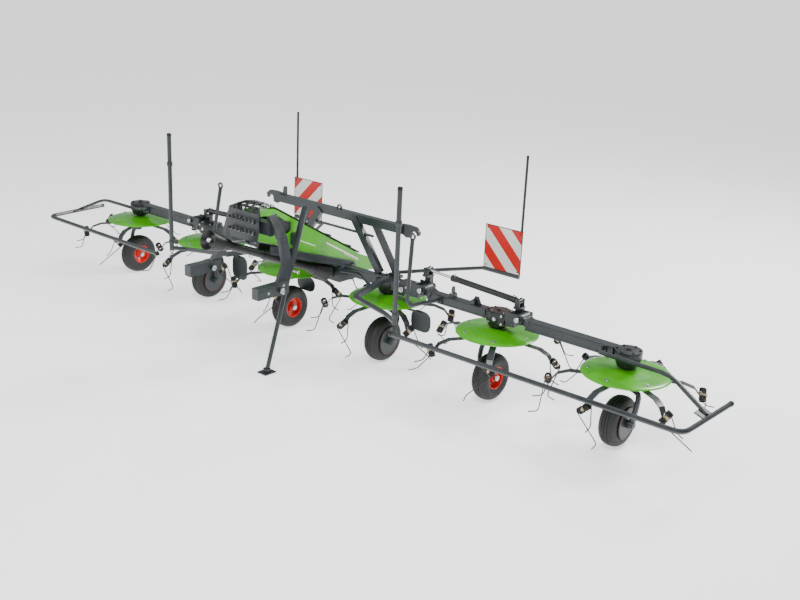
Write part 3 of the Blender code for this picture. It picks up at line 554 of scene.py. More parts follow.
def coil_path(hand, end):
    """Points of one coil and its tine. end = -1 is the long lower tine, +1 the short upper one."""
    axis = Vector((0, hand * 0.037, 0.035)).normalized()
    first = Vector((1, 0, 0))
    second = axis.cross(first)
    share = 1.0 if end < 0 else 0.53
    out = 0.05 if end < 0 else 0.03
    knee = COIL_AT + Vector((out, hand * TINE_SWEEP * share, -TINE_DROP * share))
    foot = knee + Vector((TINE_FOOT, hand * 0.004, -0.012))
    last = COIL_AT + axis * end * (0.010 + PITCH_STEP * TURNS)
    spin = -end * hand

    def around(angle, along):
        return COIL_AT + axis * along + (first * math.cos(angle) + second * math.sin(angle)) * WIND_R

    def heading(angle):
        return (second * math.cos(angle) - first * math.sin(angle)) * spin

    angles = [k * math.tau / 36 for k in range(36)]
    end_height = (last - COIL_AT).dot(axis)
    leave = max(angles, key=lambda a: heading(a).dot((knee - around(a, end_height)).normalized()))
    points = []
    for k in range(TURNS * 10 + 1):
        turn_left = TURNS - k / 10
        along = end * (0.010 + PITCH_STEP * k / 10)
        points.append(around(leave - spin * turn_left * math.tau, along))
    tail = rounded([points[-1], knee, foot], 0.035, 4)
    return points + tail[1:]


# %% The clamp, and a whole arm
def whole_arm(hand):
    """Arm, clamp, clamp bolt and both tines, with the arm along +X."""
    clamp = start_box("clamp", COIL_AT + Vector((-0.002, 0, 0)), (0.052, 0.022, 0.030))
    choose_faces(clamp, lambda centre, normal: normal.x > 0.9)
    bpy.ops.mesh.extrude_region_move(TRANSFORM_OT_translate={"value": (0.012, 0, 0)})
    bpy.ops.transform.resize(value=(1, 0.7, 0.7))
    bpy.ops.object.mode_set(mode="OBJECT")
    coat(round_edges(clamp, 0.004, 2), NYLON)
    wires = [coat(tube("tine", coil_path(hand, end), WIRE_R, 6), SPRING) for end in (-1, 1)]
    outward = Vector((0.55, 0, 0.83))
    fixing = bolts("clamp_bolt", [(COIL_AT + Vector((-0.016, 0, 0.022)), outward)], 0.9)
    return joined("whole_arm", [arm_bar(), clamp, *wires, fixing])


RING_OUTLINE = [(0.163, 0.5785), (0.163, 0.5655), (0.0788, 0.5655), (0.0788, 0.5785)]
for hand, numbers in ((1, (2, 4, 6)), (-1, (1, 3, 5))):
    arm = whole_arm(hand)
    for n in numbers:
        start = math.pi / 6 if n % 2 == 0 else 0.0
        parts = [coat(turned("hub_ring", RING_OUTLINE, 48), FRAME)]
        for k in range(6):
            parts.append(copied(arm, "arm_copy", Matrix.Rotation(start + k * math.tau / 6, 4, "Z")))
        arms = joined(f"sprung_arms_{n}", parts)
        arms.data.transform(Matrix.Translation((rotor_at[n].x, ROW_Y, 0)))
        mount(arms, f"rotor_{n}", f"tine_arms_{n}")
    print("hand", hand, "arm has", len(arm.data.polygons), "faces")
    bpy.data.objects.remove(arm)

# %% [markdown]
# ## Wheels
# A small implement tyre runs under each rotor. Its tread is a band with grooves all the way
# round, and its sidewalls bulge past the rim, so both tyre and rim are spun from outlines that
# are drawn across the wheel. The rim's open side shows a dished red face with a plain hub cap.

# %% Tyre and rim outlines
TYRE_R = (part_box("tyre_4")[1][2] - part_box("tyre_4")[0][2]) / 2
HALF = (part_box("tyre_4")[1][0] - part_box("tyre_4")[0][0]) / 2
GROOVE = 0.006


def tyre_outline():
    """Half of the tyre's section, mirrored to make the whole; (radius, distance across)."""
    half = [
        (TYRE_R - GROOVE, 0.004), (TYRE_R - 0.0008, 0.006), (TYRE_R - 0.0012, 0.019),
        (TYRE_R - 0.001 - GROOVE, 0.021), (TYRE_R - 0.001 - GROOVE, 0.026), (TYRE_R - 0.003, 0.028),
        (TYRE_R - 0.008, 0.044), (TYRE_R - 0.019, 0.060), (TYRE_R - 0.026, 0.0665),
        (TYRE_R - 0.031, 0.0672), (TYRE_R - 0.044, HALF - 0.0015), (TYRE_R - 0.060, HALF),
        (TYRE_R - 0.076, HALF - 0.003), (0.122, HALF - 0.0065), (0.1175, HALF - 0.0085),
        (0.112, HALF - 0.0080), (0.1040, HALF - 0.0120),
    ]
    return half + [(radius, -across) for radius, across in reversed(half)]


RIM_OUTLINE = [
    (0.1032, 0.0605), (0.1010, 0.0640), (0.0970, 0.0640), (0.0945, 0.0600), (0.0925, 0.0250),
    (0.0880, 0.0120), (0.0790, 0.0050), (0.0560, 0.0010), (0.0460, 0.0050), (0.0400, 0.0150),
    (0.0360, 0.0440), (0.0170, 0.0450), (0.0170, -0.0540), (0.0330, -0.0520), (0.0360, -0.0200),
    (0.0560, -0.0040), (0.0780, 0.0000), (0.0840, -0.0100), (0.0870, -0.0300), (0.0900, -0.0600),
    (0.0950, -0.0640), (0.1010, -0.0640), (0.1032, -0.0605),
]
CAP_OUTLINE = [
    (0.0, 0.0790), (0.016, 0.0785), (0.0235, 0.0760), (0.0275, 0.0700), (0.0285, 0.0600),
    (0.0285, 0.0455), (0.0, 0.0455),
]

# %% Make and place the wheels
tyre = coat(turned("tyre", tyre_outline(), 72), RUBBER)
rim = coat(turned("rim", RIM_OUTLINE, 64), RED)
cap = coat(turned("cap", CAP_OUTLINE, 32), ZINC)
wheel_nuts = bolts("wheel_nuts", [(p + UP * 0.0015, UP) for p in ring_of(Vector(), 0.064, 4)], 0.85)
rim = joined("rim", [rim, wheel_nuts])
OPEN_SIDE = {4: -1, 5: 1, 6: -1, 3: 1, 2: -1, 1: 1}
for n in ROTORS:
    turn = Matrix.Translation(wheel_at[n]) @ Matrix.Rotation(OPEN_SIDE[n] * math.pi / 2, 4, "Y")
    mount(copied(tyre, f"ribbed_tyre_{n}", turn), f"wheel_{n}", f"tyre_{n}")
    mount(copied(rim, f"dished_rim_{n}", turn), f"wheel_{n}", f"wheel_rim_{n}")
    mount(copied(cap, f"hub_cap_{n}", turn), body_of[f"rotor_gearbox_{n}"])
for master in (tyre, rim, cap):
    bpy.data.objects.remove(master)
print("tyres of", round(2 * TYRE_R, 3), "m by", round(2 * HALF, 3), "m")

# %% [markdown]
# ## Anti-wrap rings
# On the strut's side a dark plate keeps hay off the axle, and a thin red ring shows at its edge.
# The ring is a small lathe piece laid against that plate, in a darker red whose darkness is painted shade.

# %% Rings on the strut side
RING_RED = [(0.1225, 0.0905), (0.1245, 0.0898), (0.1245, 0.0880), (0.1205, 0.0880), (0.1205, 0.0900)]
PLATE_EDGE = [(0.1325, 0.0902), (0.1335, 0.0890), (0.1335, 0.0838), (0.1290, 0.0830), (0.1290, 0.0904)]
# the ring's dark red is painted shade
red_ring = coat(turned("red_ring", RING_RED, 64), SHADED_RED)
plate_edge = coat(turned("plate_edge", PLATE_EDGE, 64), FRAME)
strut_cap = coat(turned("strut_cap", [
    (0.0, 0.1480), (0.020, 0.1478), (0.030, 0.1455), (0.0335, 0.1400), (0.0335, 0.0890), (0.0, 0.0890),
], 40), FRAME)
for n in ROTORS:
    turn = Matrix.Translation(wheel_at[n]) @ Matrix.Rotation(-OPEN_SIDE[n] * math.pi / 2, 4, "Y")
    body = body_of[f"rotor_gearbox_{n}"]
    mount(copied(red_ring, f"wrap_ring_{n}", turn), body)
    mount(copied(plate_edge, f"plate_edge_{n}", turn), body)
    mount(copied(strut_cap, f"axle_end_{n}", turn), body)
for master in (red_ring, plate_edge, strut_cap):
    bpy.data.objects.remove(master)
print("rings and axle ends on six struts")

# %% [markdown]
# ## Gearbox drums
# Above each rotor sits a cast drum with a flat lid. The casting's section has a lid flange, a
# parting groove and a cone towards the rotor, so it is spun, with a ring of bolts on its lid
# and a plug in the middle.

# %% Drums, lid bolts and plugs
DRUM_TOP = 0.8001
DRUM_R = 0.111
DRUM_OUTLINE = [
    (0.0, DRUM_TOP), (DRUM_R - 0.010, DRUM_TOP), (DRUM_R - 0.003, 0.7975), (DRUM_R, 0.7930),
    (DRUM_R, 0.7830), (DRUM_R - 0.003, 0.7815), (DRUM_R - 0.003, 0.7785), (DRUM_R, 0.7770),
    (DRUM_R, 0.7330), (DRUM_R - 0.004, 0.7245), (DRUM_R - 0.027, 0.6740), (DRUM_R - 0.030, 0.6672),
    (0.0, 0.6672),
]
drum = coat(turned("drum", DRUM_OUTLINE, 72), SATIN)
PLUG_OUTLINE = [
    (0.0, 0.012), (0.016, 0.012), (0.019, 0.0095), (0.019, 0.004), (0.030, 0.003), (0.031, 0.0), (0.0, 0.0),
]
plug = coat(turned("plug", PLUG_OUTLINE, 28), PLASTIC)
for n in ROTORS:
    centre = Vector((rotor_at[n].x, ROW_Y, 0))
    body = body_of[f"rotor_gearbox_{n}"]
    mount(copied(drum, f"gearbox_casting_{n}", Matrix.Translation(centre)), body)
    lid = [(p, UP) for p in ring_of(centre + UP * DRUM_TOP, DRUM_R - 0.020, 6, math.pi / 8)]
    mount(coat(bolts(f"lid_bolts_{n}", lid, 0.9), SATIN), body)
    mount(copied(plug, f"lid_plug_{n}", Matrix.Translation(centre + UP * DRUM_TOP)), body)
for master in (drum, plug):
    bpy.data.objects.remove(master)
print("six drums")

# %% [markdown]
# ## Drive shaft guard
# The shaft that brings the tractor's power runs inside a black plastic tube, with a ribbed cone
# over the joint at each end. Tube and cones turn about one line, so a single outline gives the
# whole guard; its ribs come from a loop.

# %% Guard tube and ribbed cones
SHAFT_REAR = row(0, -0.20, 0.755)
SHAFT_FRONT = row(0, -1.60, 1.312)
SHAFT_LENGTH = (SHAFT_FRONT - SHAFT_REAR).length


def ribs(start, end, big, small, count):
    """(radius, height) pairs of a cone whose wall goes in and out like a bellows."""
    pairs = []
    for k in range(count * 2 + 1):
        t = k / (count * 2)
        ripple = 0.0 if k % 2 == 0 else -0.004
        pairs.append((big + (small - big) * t + ripple, start + (end - start) * t))
    return pairs


MOUTH = 0.050
rear = [(0.0, MOUTH), (0.052, MOUTH), (0.090, 0.001), (0.0965, 0.0), *ribs(0.006, 0.155, 0.098, 0.070, 7)]
rear += [(0.061, 0.165), *ribs(0.172, 0.235, 0.060, 0.048, 3), (0.0425, 0.246), (0.0425, 0.850)]
front = [(SHAFT_LENGTH - h) for h in (0.26, 0.245, 0.165, 0.155, 0.006)]
fore = [(0.037, 0.856), (0.037, front[0]), *ribs(front[1], front[2], 0.048, 0.060, 3)]
fore += [*ribs(front[3], front[4], 0.068, 0.092, 7), (0.0905, SHAFT_LENGTH)]
fore += [(0.084, SHAFT_LENGTH), (0.052, SHAFT_LENGTH - MOUTH), (0.0, SHAFT_LENGTH - MOUTH)]
guard = coat(turned("drive_shaft_guard", rear + fore, 48), PLASTIC)
splined = [(0.0, SHAFT_LENGTH - 0.004), (0.016, SHAFT_LENGTH - 0.004), (0.021, SHAFT_LENGTH - 0.010)]
splined += [(0.021, SHAFT_LENGTH - MOUTH), (0.0, SHAFT_LENGTH - MOUTH)]
yoke = [(0.0, -0.022), (0.038, -0.022), (0.040, -0.016), (0.040, 0.030), (0.030, MOUTH), (0.0, MOUTH)]
ends = [coat(turned("shaft_end", outline, 24), ZINC) for outline in (splined, yoke)]
shaft = joined("drive_shaft_guard", [guard, *ends])
shaft.data.transform(aimed(SHAFT_REAR, (SHAFT_FRONT - SHAFT_REAR).normalized()))
mount(shaft, body_of["pto_shaft"], "pto_shaft")
print("guard is", round(SHAFT_LENGTH, 3), "m long")

# %% [markdown]
# ## Warning boards
# Two square boards with red and silver diagonals stand behind the outer ends when the machine
# is on the road. The sheet is a thin box with a dark edge strip. Its stripes
# are worked out from the board's own coordinates, so they stay sharp at any size.

# %% Striped sheet
STRIPE_MM = 100
PERIOD = 2 * math.sqrt(2) * STRIPE_MM / 1000


def striped(name, slope, red_end):
    """Film with red and silver bands across X and Z; one red band stops at red_end."""
    material = surface(name, ("#DADBD6", "#CED0CC"), 25, (0.28, 0.38), 1.2, 0.01)
    tree = material.node_tree
    shader = tree.nodes["Principled BSDF"]
    silver = shader.inputs["Base Color"].links[0].from_socket
    place = add_node(tree, "ShaderNodeTexCoord").outputs["Object"]
    axes = add_node(tree, "ShaderNodeSeparateXYZ", {}, {0: place}).outputs
    height = add_node(tree, "ShaderNodeMath", {"operation": "MULTIPLY"}, {0: axes["Z"], 1: slope}).outputs[0]
    across = add_node(tree, "ShaderNodeMath", {"operation": "ADD"}, {0: axes["X"], 1: height}).outputs[0]
    shifted = add_node(tree, "ShaderNodeMath", {"operation": "SUBTRACT"}, {0: across, 1: red_end}).outputs[0]
    bands = add_node(tree, "ShaderNodeMath", {"operation": "DIVIDE"}, {0: shifted, 1: PERIOD}).outputs[0]
    part = add_node(tree, "ShaderNodeMath", {"operation": "FRACT"}, {0: bands}).outputs[0]
    red_band = add_node(tree, "ShaderNodeMath", {"operation": "GREATER_THAN"}, {0: part, 1: 0.5}).outputs[0]
    colours = {0: red_band, 6: silver, 7: linear("#BC140E")}
    mixed = add_node(tree, "ShaderNodeMix", {"data_type": "RGBA"}, colours).outputs[2]
    tree.links.new(mixed, shader.inputs["Base Color"])
    return material


# %% Cut, edge and rivet the boards
for side, sign in SIDES.items():
    node = f"warning_board_{side}"
    low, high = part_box(node)
    centre = middle(node)
    size = Vector(high) - Vector(low)
    board = start_box(node, centre, size)
    inner_corner = (low[0] if sign > 0 else high[0]) + sign * high[2]
    red_end = inner_corner + (PERIOD / 2 if sign > 0 else 0)
    film = striped(f"reflective_film_{side}", sign, red_end)
    coat(board, film)
    board.data.materials.append(PLASTIC)
    choose_faces(board, lambda place, normal: abs(normal.y) > 0.9)
    bpy.ops.mesh.inset(thickness=0.007)
    bpy.ops.object.mode_set(mode="OBJECT")
    for face in board.data.polygons:
        inner = abs(face.normal.y) > 0.9 and (face.center - centre).length < 0.05
        face.material_index = 0 if inner else 1
    reach = size.x / 2 - 0.030
    corners = [(a * reach, b * reach) for a in (-1, 1) for b in (-1, 1)]
    rivets = [(Vector((centre.x + x, low[1], centre.z + z)), Vector((0, -1, 0))) for x, z in corners]
    heads = bolts("rivets", rivets, 0.6)
    coat(heads, PLASTIC)
    mount(joined(f"striped_board_{side}", [board, heads]), body_of[node], node)
print("boards", round(size.x, 3), "m square with", STRIPE_MM, "mm stripes")

# %% Sleeves on the board masts
# A plastic tube over the wire makes the mast easier to see from a tractor seat.
MAST_SLEEVE = 0.012
for side, sign in SIDES.items():
    low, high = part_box(f"warning_board_{side}")
    mast_y = high[1] + MAST_SLEEVE + 0.001
    top = Vector(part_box(f"board_carrier_{side}")[1]).z
    ends = [Vector((sign * 1.475, mast_y, low[2] - 0.015)), Vector((sign * 1.475, mast_y, top))]
    sleeve = tube(f"mast_sleeve_{side}", ends, MAST_SLEEVE, 12)
    mount(coat(sleeve, PLASTIC), body_of[f"board_carrier_{side}"])

# %% [markdown]
# ## Fold cylinders
# A hydraulic cylinder lies over each fold hinge. Its chromed rod is pinned to the centre frame,
# and its black barrel reaches out along the wing. Both are turned shapes: the barrel has a
# gland at its mouth and a welded cap at its far end, with two hose ports.

# %% Barrel, rod and eyes
PIN_IN = {side: row(sign * 1.03, 0.075, 0.95) for side, sign in SIDES.items()}
PIN_OUT = {side: row(sign * 2.03, 0.075, 0.90) for side, sign in SIDES.items()}
SPAN = (PIN_OUT["right"] - PIN_IN["right"]).length
BARREL_FROM = 0.27
barrel_outline = [
    (0.0136, BARREL_FROM), (0.026, BARREL_FROM), (0.031, BARREL_FROM + 0.004), (0.031, BARREL_FROM + 0.045),
    (0.028, BARREL_FROM + 0.049), (0.027, BARREL_FROM + 0.055), (0.027, SPAN - 0.075), (0.030, SPAN - 0.070),
    (0.030, SPAN - 0.038), (0.022, SPAN - 0.030), (0.022, SPAN - 0.006), (0.0136, SPAN - 0.006),
    (0.0136, SPAN - 0.1),
]
rod_outline = [(0.0, 0.015), (0.013, 0.015), (0.013, 0.60), (0.0, 0.60)]
for side in SIDES:
    along = (PIN_OUT[side] - PIN_IN[side]).normalized()
    turn = aimed(PIN_IN[side], along)
    across = Vector((0, 1, 0))
    barrel = coat(turned(f"barrel_{side}", barrel_outline, 36), SATIN)
    barrel.data.transform(turn)
    for name, reach in (("near_port", BARREL_FROM + 0.030), ("far_port", SPAN - 0.058)):
        base = PIN_IN[side] + along * reach
        port = start_disc(name, 0.012, 0.040, 6)
        port.data.transform(aimed(base, UP))
        barrel = joined(f"barrel_{side}", [barrel, coat(round_edges(port, 0.001, 1), ZINC)])
    eye = turned("eye", [(0.0225, 0.026), (0.0225, -0.026), (0.0, -0.026), (0.0, 0.026)], 32)
    eye.data.transform(aimed(PIN_OUT[side], across))
    barrel = joined(f"barrel_{side}", [barrel, coat(eye, SATIN)])
    mount(barrel, f"fold_barrel_{side}_body", f"fold_barrel_{side}")
    rod_piece = coat(turned(f"chromed_rod_{side}", rod_outline, 32), CHROME)
    rod_piece.data.transform(turn)
    head = turned("rod_eye", [(0.026, 0.028), (0.026, -0.028), (0.0122, -0.028), (0.0122, 0.028)], 32)
    head.data.transform(aimed(PIN_IN[side], across))
    rod_piece = joined(f"chromed_rod_{side}", [rod_piece, coat(head, SATIN)])
    mount(rod_piece, f"fold_rod_{side}_body", f"fold_rod_{side}")
print("cylinders", round(SPAN, 3), "m between pins")

# %% [markdown]
# ## The boom's trim
# The green boom is a welded box with plain sides. What makes it read as finished is what is
# fixed to it: a dark cover between its two fingers, a dark rail along its lower edge, cream
# stripes, and the hoses that carry oil over its top. Each starts as a box or a tube.

# %% Bars that lie along a line
def start_bar(name, start, end, width, height):
    """A box from start to end, width across X and height square to both."""
    along = end - start
    bar = start_box(name, Vector((0, 0, 0)), (width, along.length, height))
    tilt = Vector((0, 1, 0)).rotation_difference(along)
    bar.data.transform(Matrix.Translation((start + end) / 2) @ tilt.to_matrix().to_4x4())
    return bar


BOOM_HALF = 0.070
BOOM_SLOPE = 0.507
FRONT_TRIM, REAR_TRIM = -0.97, 0.10
stripes = []
for sign in (1, -1):
    x = sign * (BOOM_HALF + 0.0008)
    stripes.append(start_bar("stripe", row(x, -0.26, 1.055), row(x, 0.185, 0.812), 0.0016, 0.016))
    stripes.append(start_bar("stripe", row(x, -0.02, 0.905), row(x, 0.185, 0.795), 0.0016, 0.006))
    stripes.append(start_bar("stripe", row(x, -0.66, 1.165), row(x, -0.40, 1.05), 0.0016, 0.008))
boom_stripes = joined("boom_stripes", [coat(stripe, CREAM) for stripe in stripes])
mount(round_edges(boom_stripes, 0.0003, 1), "centre_frame")

# %% Cover between the fingers, and the lower rail
covers = []
for sign in (1, -1):
    cover = start_box("cover", row(sign * (BOOM_HALF + 0.003), -0.845, 1.325), (0.006, 0.25, 0.17))
    choose_faces(cover, lambda place, normal: normal.y > 0.9)
    bpy.ops.transform.resize(value=(1, 1, 0.45), center_override=row(0, -0.72, 1.27))
    choose_faces(cover, lambda place, normal: normal.x * sign > 0.9)
    bpy.ops.mesh.inset(thickness=0.012)
    bpy.ops.mesh.extrude_region_move(TRANSFORM_OT_translate={"value": (sign * 0.004, 0, 0)})
    bpy.ops.object.mode_set(mode="OBJECT")
    covers.append(coat(round_edges(cover, 0.003, 2), SATIN))
    rail_x = sign * (BOOM_HALF + 0.015)
    rail = start_bar("rail", row(rail_x, FRONT_TRIM, 1.118), row(rail_x, REAR_TRIM, 0.775), 0.026, 0.075)
    choose_faces(rail, lambda place, normal: normal.x * sign > 0.9)
    bpy.ops.mesh.inset(thickness=0.018)
    bpy.ops.mesh.extrude_region_move(TRANSFORM_OT_translate={"value": (-sign * 0.006, 0, 0)})
    bpy.ops.object.mode_set(mode="OBJECT")
    covers.append(coat(round_edges(rail, 0.003, 2), FRAME))
mount(joined("boom_covers_and_rails", covers), "centre_frame")

# %% Oil hoses over the boom
lines = []
OVER_THE_TOP = ((-0.99, 1.499), (-0.90, 1.492), (-0.565, 1.306), (0.19, 0.886), (0.225, 0.866))
for x in (-0.042, -0.014, 0.014, 0.042):
    path = [row(x, y, z) for y, z in OVER_THE_TOP]
    lines.append(coat(tube("line", rounded(path, 0.03), 0.007, 8), HOSE))
    for y, z in ((-0.93, 1.5005), (-0.985, 1.5005)):
        ferrule = start_disc("ferrule", 0.0115, 0.034, 6)
        ferrule.data.transform(aimed(row(x, y, z), Vector((0, 1, 0.02))))
        lines.append(coat(round_edges(ferrule, 0.001, 1), ZINC))
for y, z in ((-0.50, 1.262), (-0.20, 1.095), (0.08, 0.940)):
    saddle = start_box("saddle", Vector((0, 0, 0.012)), (0.112, 0.030, 0.026))
    saddle.data.transform(Matrix.Translation(row(0, y, z)) @ Matrix.Rotation(-BOOM_SLOPE, 4, "X"))
    lines.append(coat(round_edges(saddle, 0.004, 2), PLASTIC))
mount(joined("oil_lines", lines), "centre_frame")
print("boom trimmed")

# %% [markdown]
# ## Coupling panel and hoses
# The tractor's hoses plug into a panel at the very front. Twelve dark couplers stand in two rows,
# each a turned body with a bright collar, and short stiff hoses run from them back to the boom.

# %% Couplers and their hoses
PANEL_FACE = middle("hose_panel").y - 0.005
COUPLER = [
    (0.0, 0.052), (0.010, 0.052), (0.0125, 0.048), (0.0125, 0.034), (0.0165, 0.031), (0.0165, 0.014),
    (0.0150, 0.011), (0.0205, 0.009), (0.0205, 0.0), (0.0, 0.0),
]
coupler = coat(turned("coupler", COUPLER, 24), SATIN)
COUPLER_RING = [
    (0.0172, 0.030), (0.0178, 0.028), (0.0178, 0.018), (0.0172, 0.016), (0.0150, 0.016), (0.0150, 0.030),
]
collar = coat(turned("collar", COUPLER_RING, 24), ZINC)
coupler = joined("coupler", [coupler, collar])
COUPLER_COLUMNS = (-0.135, -0.085, -0.035, 0.035, 0.085, 0.135)
COUPLER_ROWS = (1.325, 1.425)
COUPLER_POINTS = Vector((0, -1, 0.25))
fittings = []
for x in COUPLER_COLUMNS:
    for z in COUPLER_ROWS:
        place = Vector((x, PANEL_FACE, z))
        fittings.append(copied(coupler, "coupler_copy", aimed(place, COUPLER_POINTS)))
bpy.data.objects.remove(coupler)
mount(joined("couplers", fittings), "headstock_body")
HOSE_COLUMNS = (-0.12, -0.075, -0.03, 0.03, 0.075, 0.12)
HOSE_LIFT = 0.018          # every other hose stands higher, so that neighbours don't touch
hoses = []
for k, x in enumerate(HOSE_COLUMNS):
    lift = HOSE_LIFT if k % 2 else 0.0
    start = row(x, -1.198, 1.485)
    rise = start + Vector((0, -0.018, 0.045 + lift))
    bend = start + Vector((-x * 0.3, 0.060, 0.062 + lift))
    path = [start, rise, bend, row(x * 0.5, -1.03, 1.532 + lift)]
    hoses.append(coat(tube("hose", rounded(path, 0.016, 5), 0.0085, 10), HOSE))
    end = start_disc("hose_end", 0.012, 0.030, 6)
    end.data.transform(aimed(path[-1] - Vector((0, 0.015, 0)), path[-1] - path[-2]))
    hoses.append(coat(round_edges(end, 0.001, 1), ZINC))
mount(joined("coupling_hoses", hoses), "headstock_body")
print(len(fittings), "couplers")

# %% [markdown]
# ## Fold hinges
# The wings fold about long pins beside the inner gearboxes. A cast housing closes the drive
# joint there; it is a box whose ends are drawn in and rounded, with bolts round its face and one
# large bolt head in front.

# %% Housings, pin heads and large bolts
FOLD_AT = {"inner": (1.08, 0.80), "outer": (2.13, 0.80)}
CASTING_SIZE = (0.170, 0.168, 0.108)
CASTING_INWARD = 0.225     # from the fold pin back to the casting's middle
PIN_HEAD = [(0.0, 0.016), (0.020, 0.016), (0.0235, 0.012), (0.0235, 0.0), (0.0, 0.0)]
for side, sign in SIDES.items():
    for place, (x, z) in FOLD_AT.items():
        body = "centre_frame" if place == "inner" else f"inner_wing_{side}"
        centre = row(sign * (x - CASTING_INWARD), 0, 0.7515)
        casting = start_box("casting", centre, CASTING_SIZE)
        choose_faces(casting, lambda where, normal: abs(normal.y) > 0.9)
        bpy.ops.mesh.inset(thickness=0.016)
        bpy.ops.mesh.extrude_region_shrink_fatten(TRANSFORM_OT_shrink_fatten={"value": 0.007})
        bpy.ops.object.mode_set(mode="OBJECT")
        coat(round_edges(casting, 0.007, 3), SATIN)
        spots = [(sign * dx, dz) for dx in (-0.062, 0.062) for dz in (-0.036, 0.036)]
        small = [(centre + Vector((dx, -0.091, dz)), Vector((0, -1, 0))) for dx, dz in spots]
        top = [(centre + Vector((dx, dy, 0.054)), UP) for dx in (-0.06, 0.06) for dy in (-0.055, 0.055)]
        big = bolts("big_bolt", [(centre + Vector((0, -0.091, 0)), Vector((0, -1, 0)))], 2.1)
        pieces = [casting, bolts("small_bolts", small + top, 0.9), big]
        for reach in (-1, 1):
            head = turned("pin_head", PIN_HEAD, 28)
            head.data.transform(aimed(row(sign * x, reach * 0.0965, z), Vector((0, reach, 0))))
            pieces.append(coat(head, ZINC))
        mount(joined(f"{place}_hinge_housing_{side}", pieces), body)
print("four hinge housings")

# %% [markdown]
# ## Beam profile, collars and caps
# The outer beams are rolled sections with a groove along each side, which two raised lips show
# without cutting the beam. Each guard post stands in a clamped collar, and plastic caps close
# the open ends of tubes.

# %% Lips along the beams
for side, sign in SIDES.items():
    for node in (f"outer_beam_{side}", f"inner_beam_{side}"):
        low, high = (Vector(corner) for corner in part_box(node))
        inner_end, outer_end = (low.x, high.x) if sign > 0 else (high.x, low.x)
        inner_end += sign * 0.12
        depth = 0.050 if "outer" in node else 0.045
        middle_z = 0.757 if "outer" in node else 0.752
        lips = []
        for y in (-depth, depth):
            for z in (middle_z + 0.030, middle_z - 0.030):
                place = row((inner_end + outer_end) / 2, y, z)
                lip = start_box("lip", place, (abs(outer_end - inner_end), 0.005, 0.014))
                lips.append(coat(round_edges(lip, 0.002, 2), FRAME))
        mount(joined(f"{node}_lips", lips), body_of[node])

# %% Brackets on the inner beams
for side, sign in SIDES.items():
    brackets = []
    tall = start_box("tall_bracket", row(sign * 1.38, 0.0, 0.842), (0.014, 0.060, 0.100))
    choose_faces(tall, lambda place, normal: normal.z > 0.9)
    bpy.ops.transform.resize(value=(1, 0.55, 1))
    bpy.ops.object.mode_set(mode="OBJECT")
    brackets.append(coat(round_edges(tall, 0.003, 2), SATIN))
    fin = start_box("fin", row(sign * 1.64, 0.0, 0.830), (0.110, 0.010, 0.070))
    choose_faces(fin, lambda place, normal: normal.z > 0.9)
    bpy.ops.transform.resize(value=(0.35, 1, 1))
    bpy.ops.object.mode_set(mode="OBJECT")
    brackets.append(coat(round_edges(fin, 0.002, 2), SATIN))
    brackets.append(bolts("bracket_bolts", [(row(sign * 1.38, -0.022, 0.83), Vector((0, -1, 0)))], 0.9))
    mount(joined(f"beam_brackets_{side}", brackets), f"inner_wing_{side}")

# %% Collars on the posts, caps on the tubes
COLLAR = [
    (0.0255, 0.020), (0.0275, 0.017), (0.0275, -0.017), (0.0255, -0.020), (0.0205, -0.020), (0.0205, 0.020),
]
CAP = [(0.0, 0.007), (0.012, 0.0062), (0.0200, 0.003), (0.0222, -0.002), (0.0222, -0.022), (0.0, -0.022)]
for side, sign in SIDES.items():
    low, high = (Vector(corner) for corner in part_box(f"front_guard_{side}"))
    post = row(sign * 1.45, -0.86, 0)
    collar = turned("post_collar", COLLAR, 32)
    collar.data.transform(Matrix.Translation(post + UP * 1.62))
    lower = turned("post_collar", COLLAR, 32)
    lower.data.transform(Matrix.Translation(post + UP * 0.85))
    top = turned("post_cap", CAP, 32)
    top.data.transform(Matrix.Translation(post + UP * (high.z - 0.001)))
    trim = [coat(collar, FRAME), coat(lower, FRAME), coat(top, PLASTIC)]
    mount(joined(f"post_trim_{side}", trim), "centre_frame")
    low, high = (Vector(corner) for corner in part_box(f"guard_bar_{side}"))
    inner_x = low.x if sign > 0 else high.x
    inner_cap = turned("inner_cap", CAP, 32)
    inner_cap.data.transform(aimed(Vector((inner_x, low.y + 0.021, 0.58)), Vector((-sign, 0, 0))))
    outer_cap = turned("outer_cap", CAP, 32)
    outer_cap.data.transform(aimed(row(sign * 3.9701, 0.081, 0.59), Vector((sign * 0.02, 1, 0.01))))
    caps = [coat(inner_cap, PLASTIC), coat(outer_cap, PLASTIC)]
    mount(joined(f"guard_caps_{side}", caps), f"outer_wing_{side}")
print("collars and caps fitted")

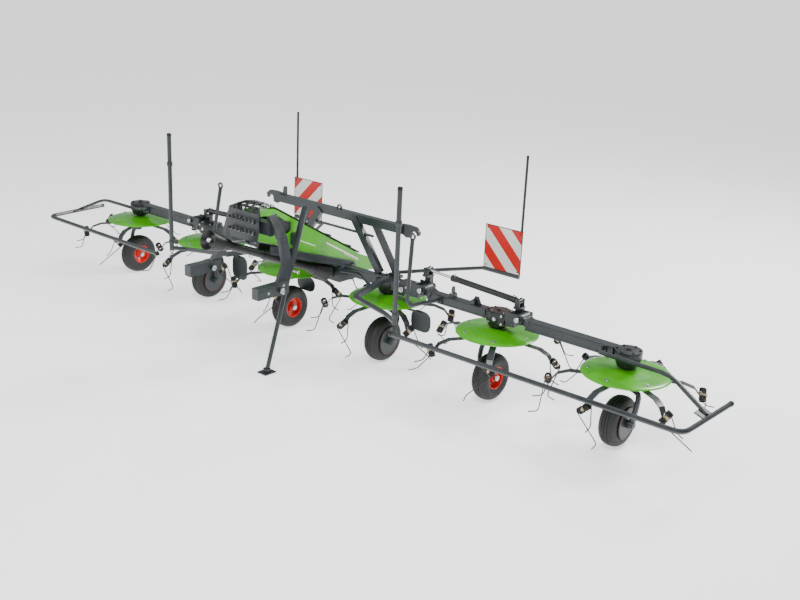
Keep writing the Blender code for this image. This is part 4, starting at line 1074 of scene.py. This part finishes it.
# %% [markdown]
# ## Link pins and the parking stand
# The lower links of the tractor hook onto a pin through each side box. A spring pin with a pull
# ring locks the stand's leg in its sleeve; it is turned, and the ring is a tube round a circle.

# %% Link pins
for sign in (1, -1):
    centre = row(sign * 0.44, -1.227, 0.905)
    name = "right" if sign > 0 else "left"
    parts = []
    for reach in (-1, 1):
        head = turned("link_pin", PIN_HEAD, 28)
        head.data.transform(aimed(centre + Vector((reach * 0.0655, 0, 0)), Vector((reach, 0, 0))))
        parts.append(coat(head, ZINC))
    plate = start_box("cheek", row(sign * 0.4815, -1.30, 0.905), (0.006, 0.33, 0.115))
    choose_faces(plate, lambda place, normal: normal.y < -0.9)
    bpy.ops.transform.resize(value=(1, 1, 0.55))
    bpy.ops.object.mode_set(mode="OBJECT")
    parts.append(coat(round_edges(plate, 0.003, 2), FRAME))
    spots = [row(sign * 0.4846, y, z) for y, z in ((-1.19, 0.94), (-1.19, 0.87), (-1.36, 0.905))]
    parts.append(bolts("cheek_bolts", [(spot, Vector((sign, 0, 0))) for spot in spots], 1.0))
    mount(joined(f"link_pin_{name}", parts), "headstock_body")

# %% Stand pin
LEAN = Vector((0, -0.296, -0.955)).normalized()
STAND_TOP = row(0.13, -0.60, 1.47)
lock_at = STAND_TOP + LEAN * 0.585
LOCK_PIN = [
    (0.0, 0.075), (0.006, 0.075), (0.007, 0.072), (0.007, 0.030), (0.011, 0.028), (0.011, 0.0), (0.0, 0.0),
]
shank = turned("lock_pin", LOCK_PIN, 20)
shank.data.transform(aimed(lock_at + Vector((0.030, 0, 0)), Vector((1, 0, 0))))
turns = [k * math.tau / 24 for k in range(25)]
ring = [lock_at + Vector((0.098 + 0.016 * math.cos(a), 0, 0.016 * math.sin(a))) for a in turns]
pull = tube("pull_ring", ring, 0.0022, 6)
mount(joined("stand_lock_pin", [coat(shank, ZINC), coat(pull, ZINC)]), "centre_frame")
print("stand and link pins fitted")

# %% [markdown]
# ## Finish
# The master bolt is removed, so that only its copies stay on the machine.

# %% Finish
bpy.data.objects.remove(bolt)
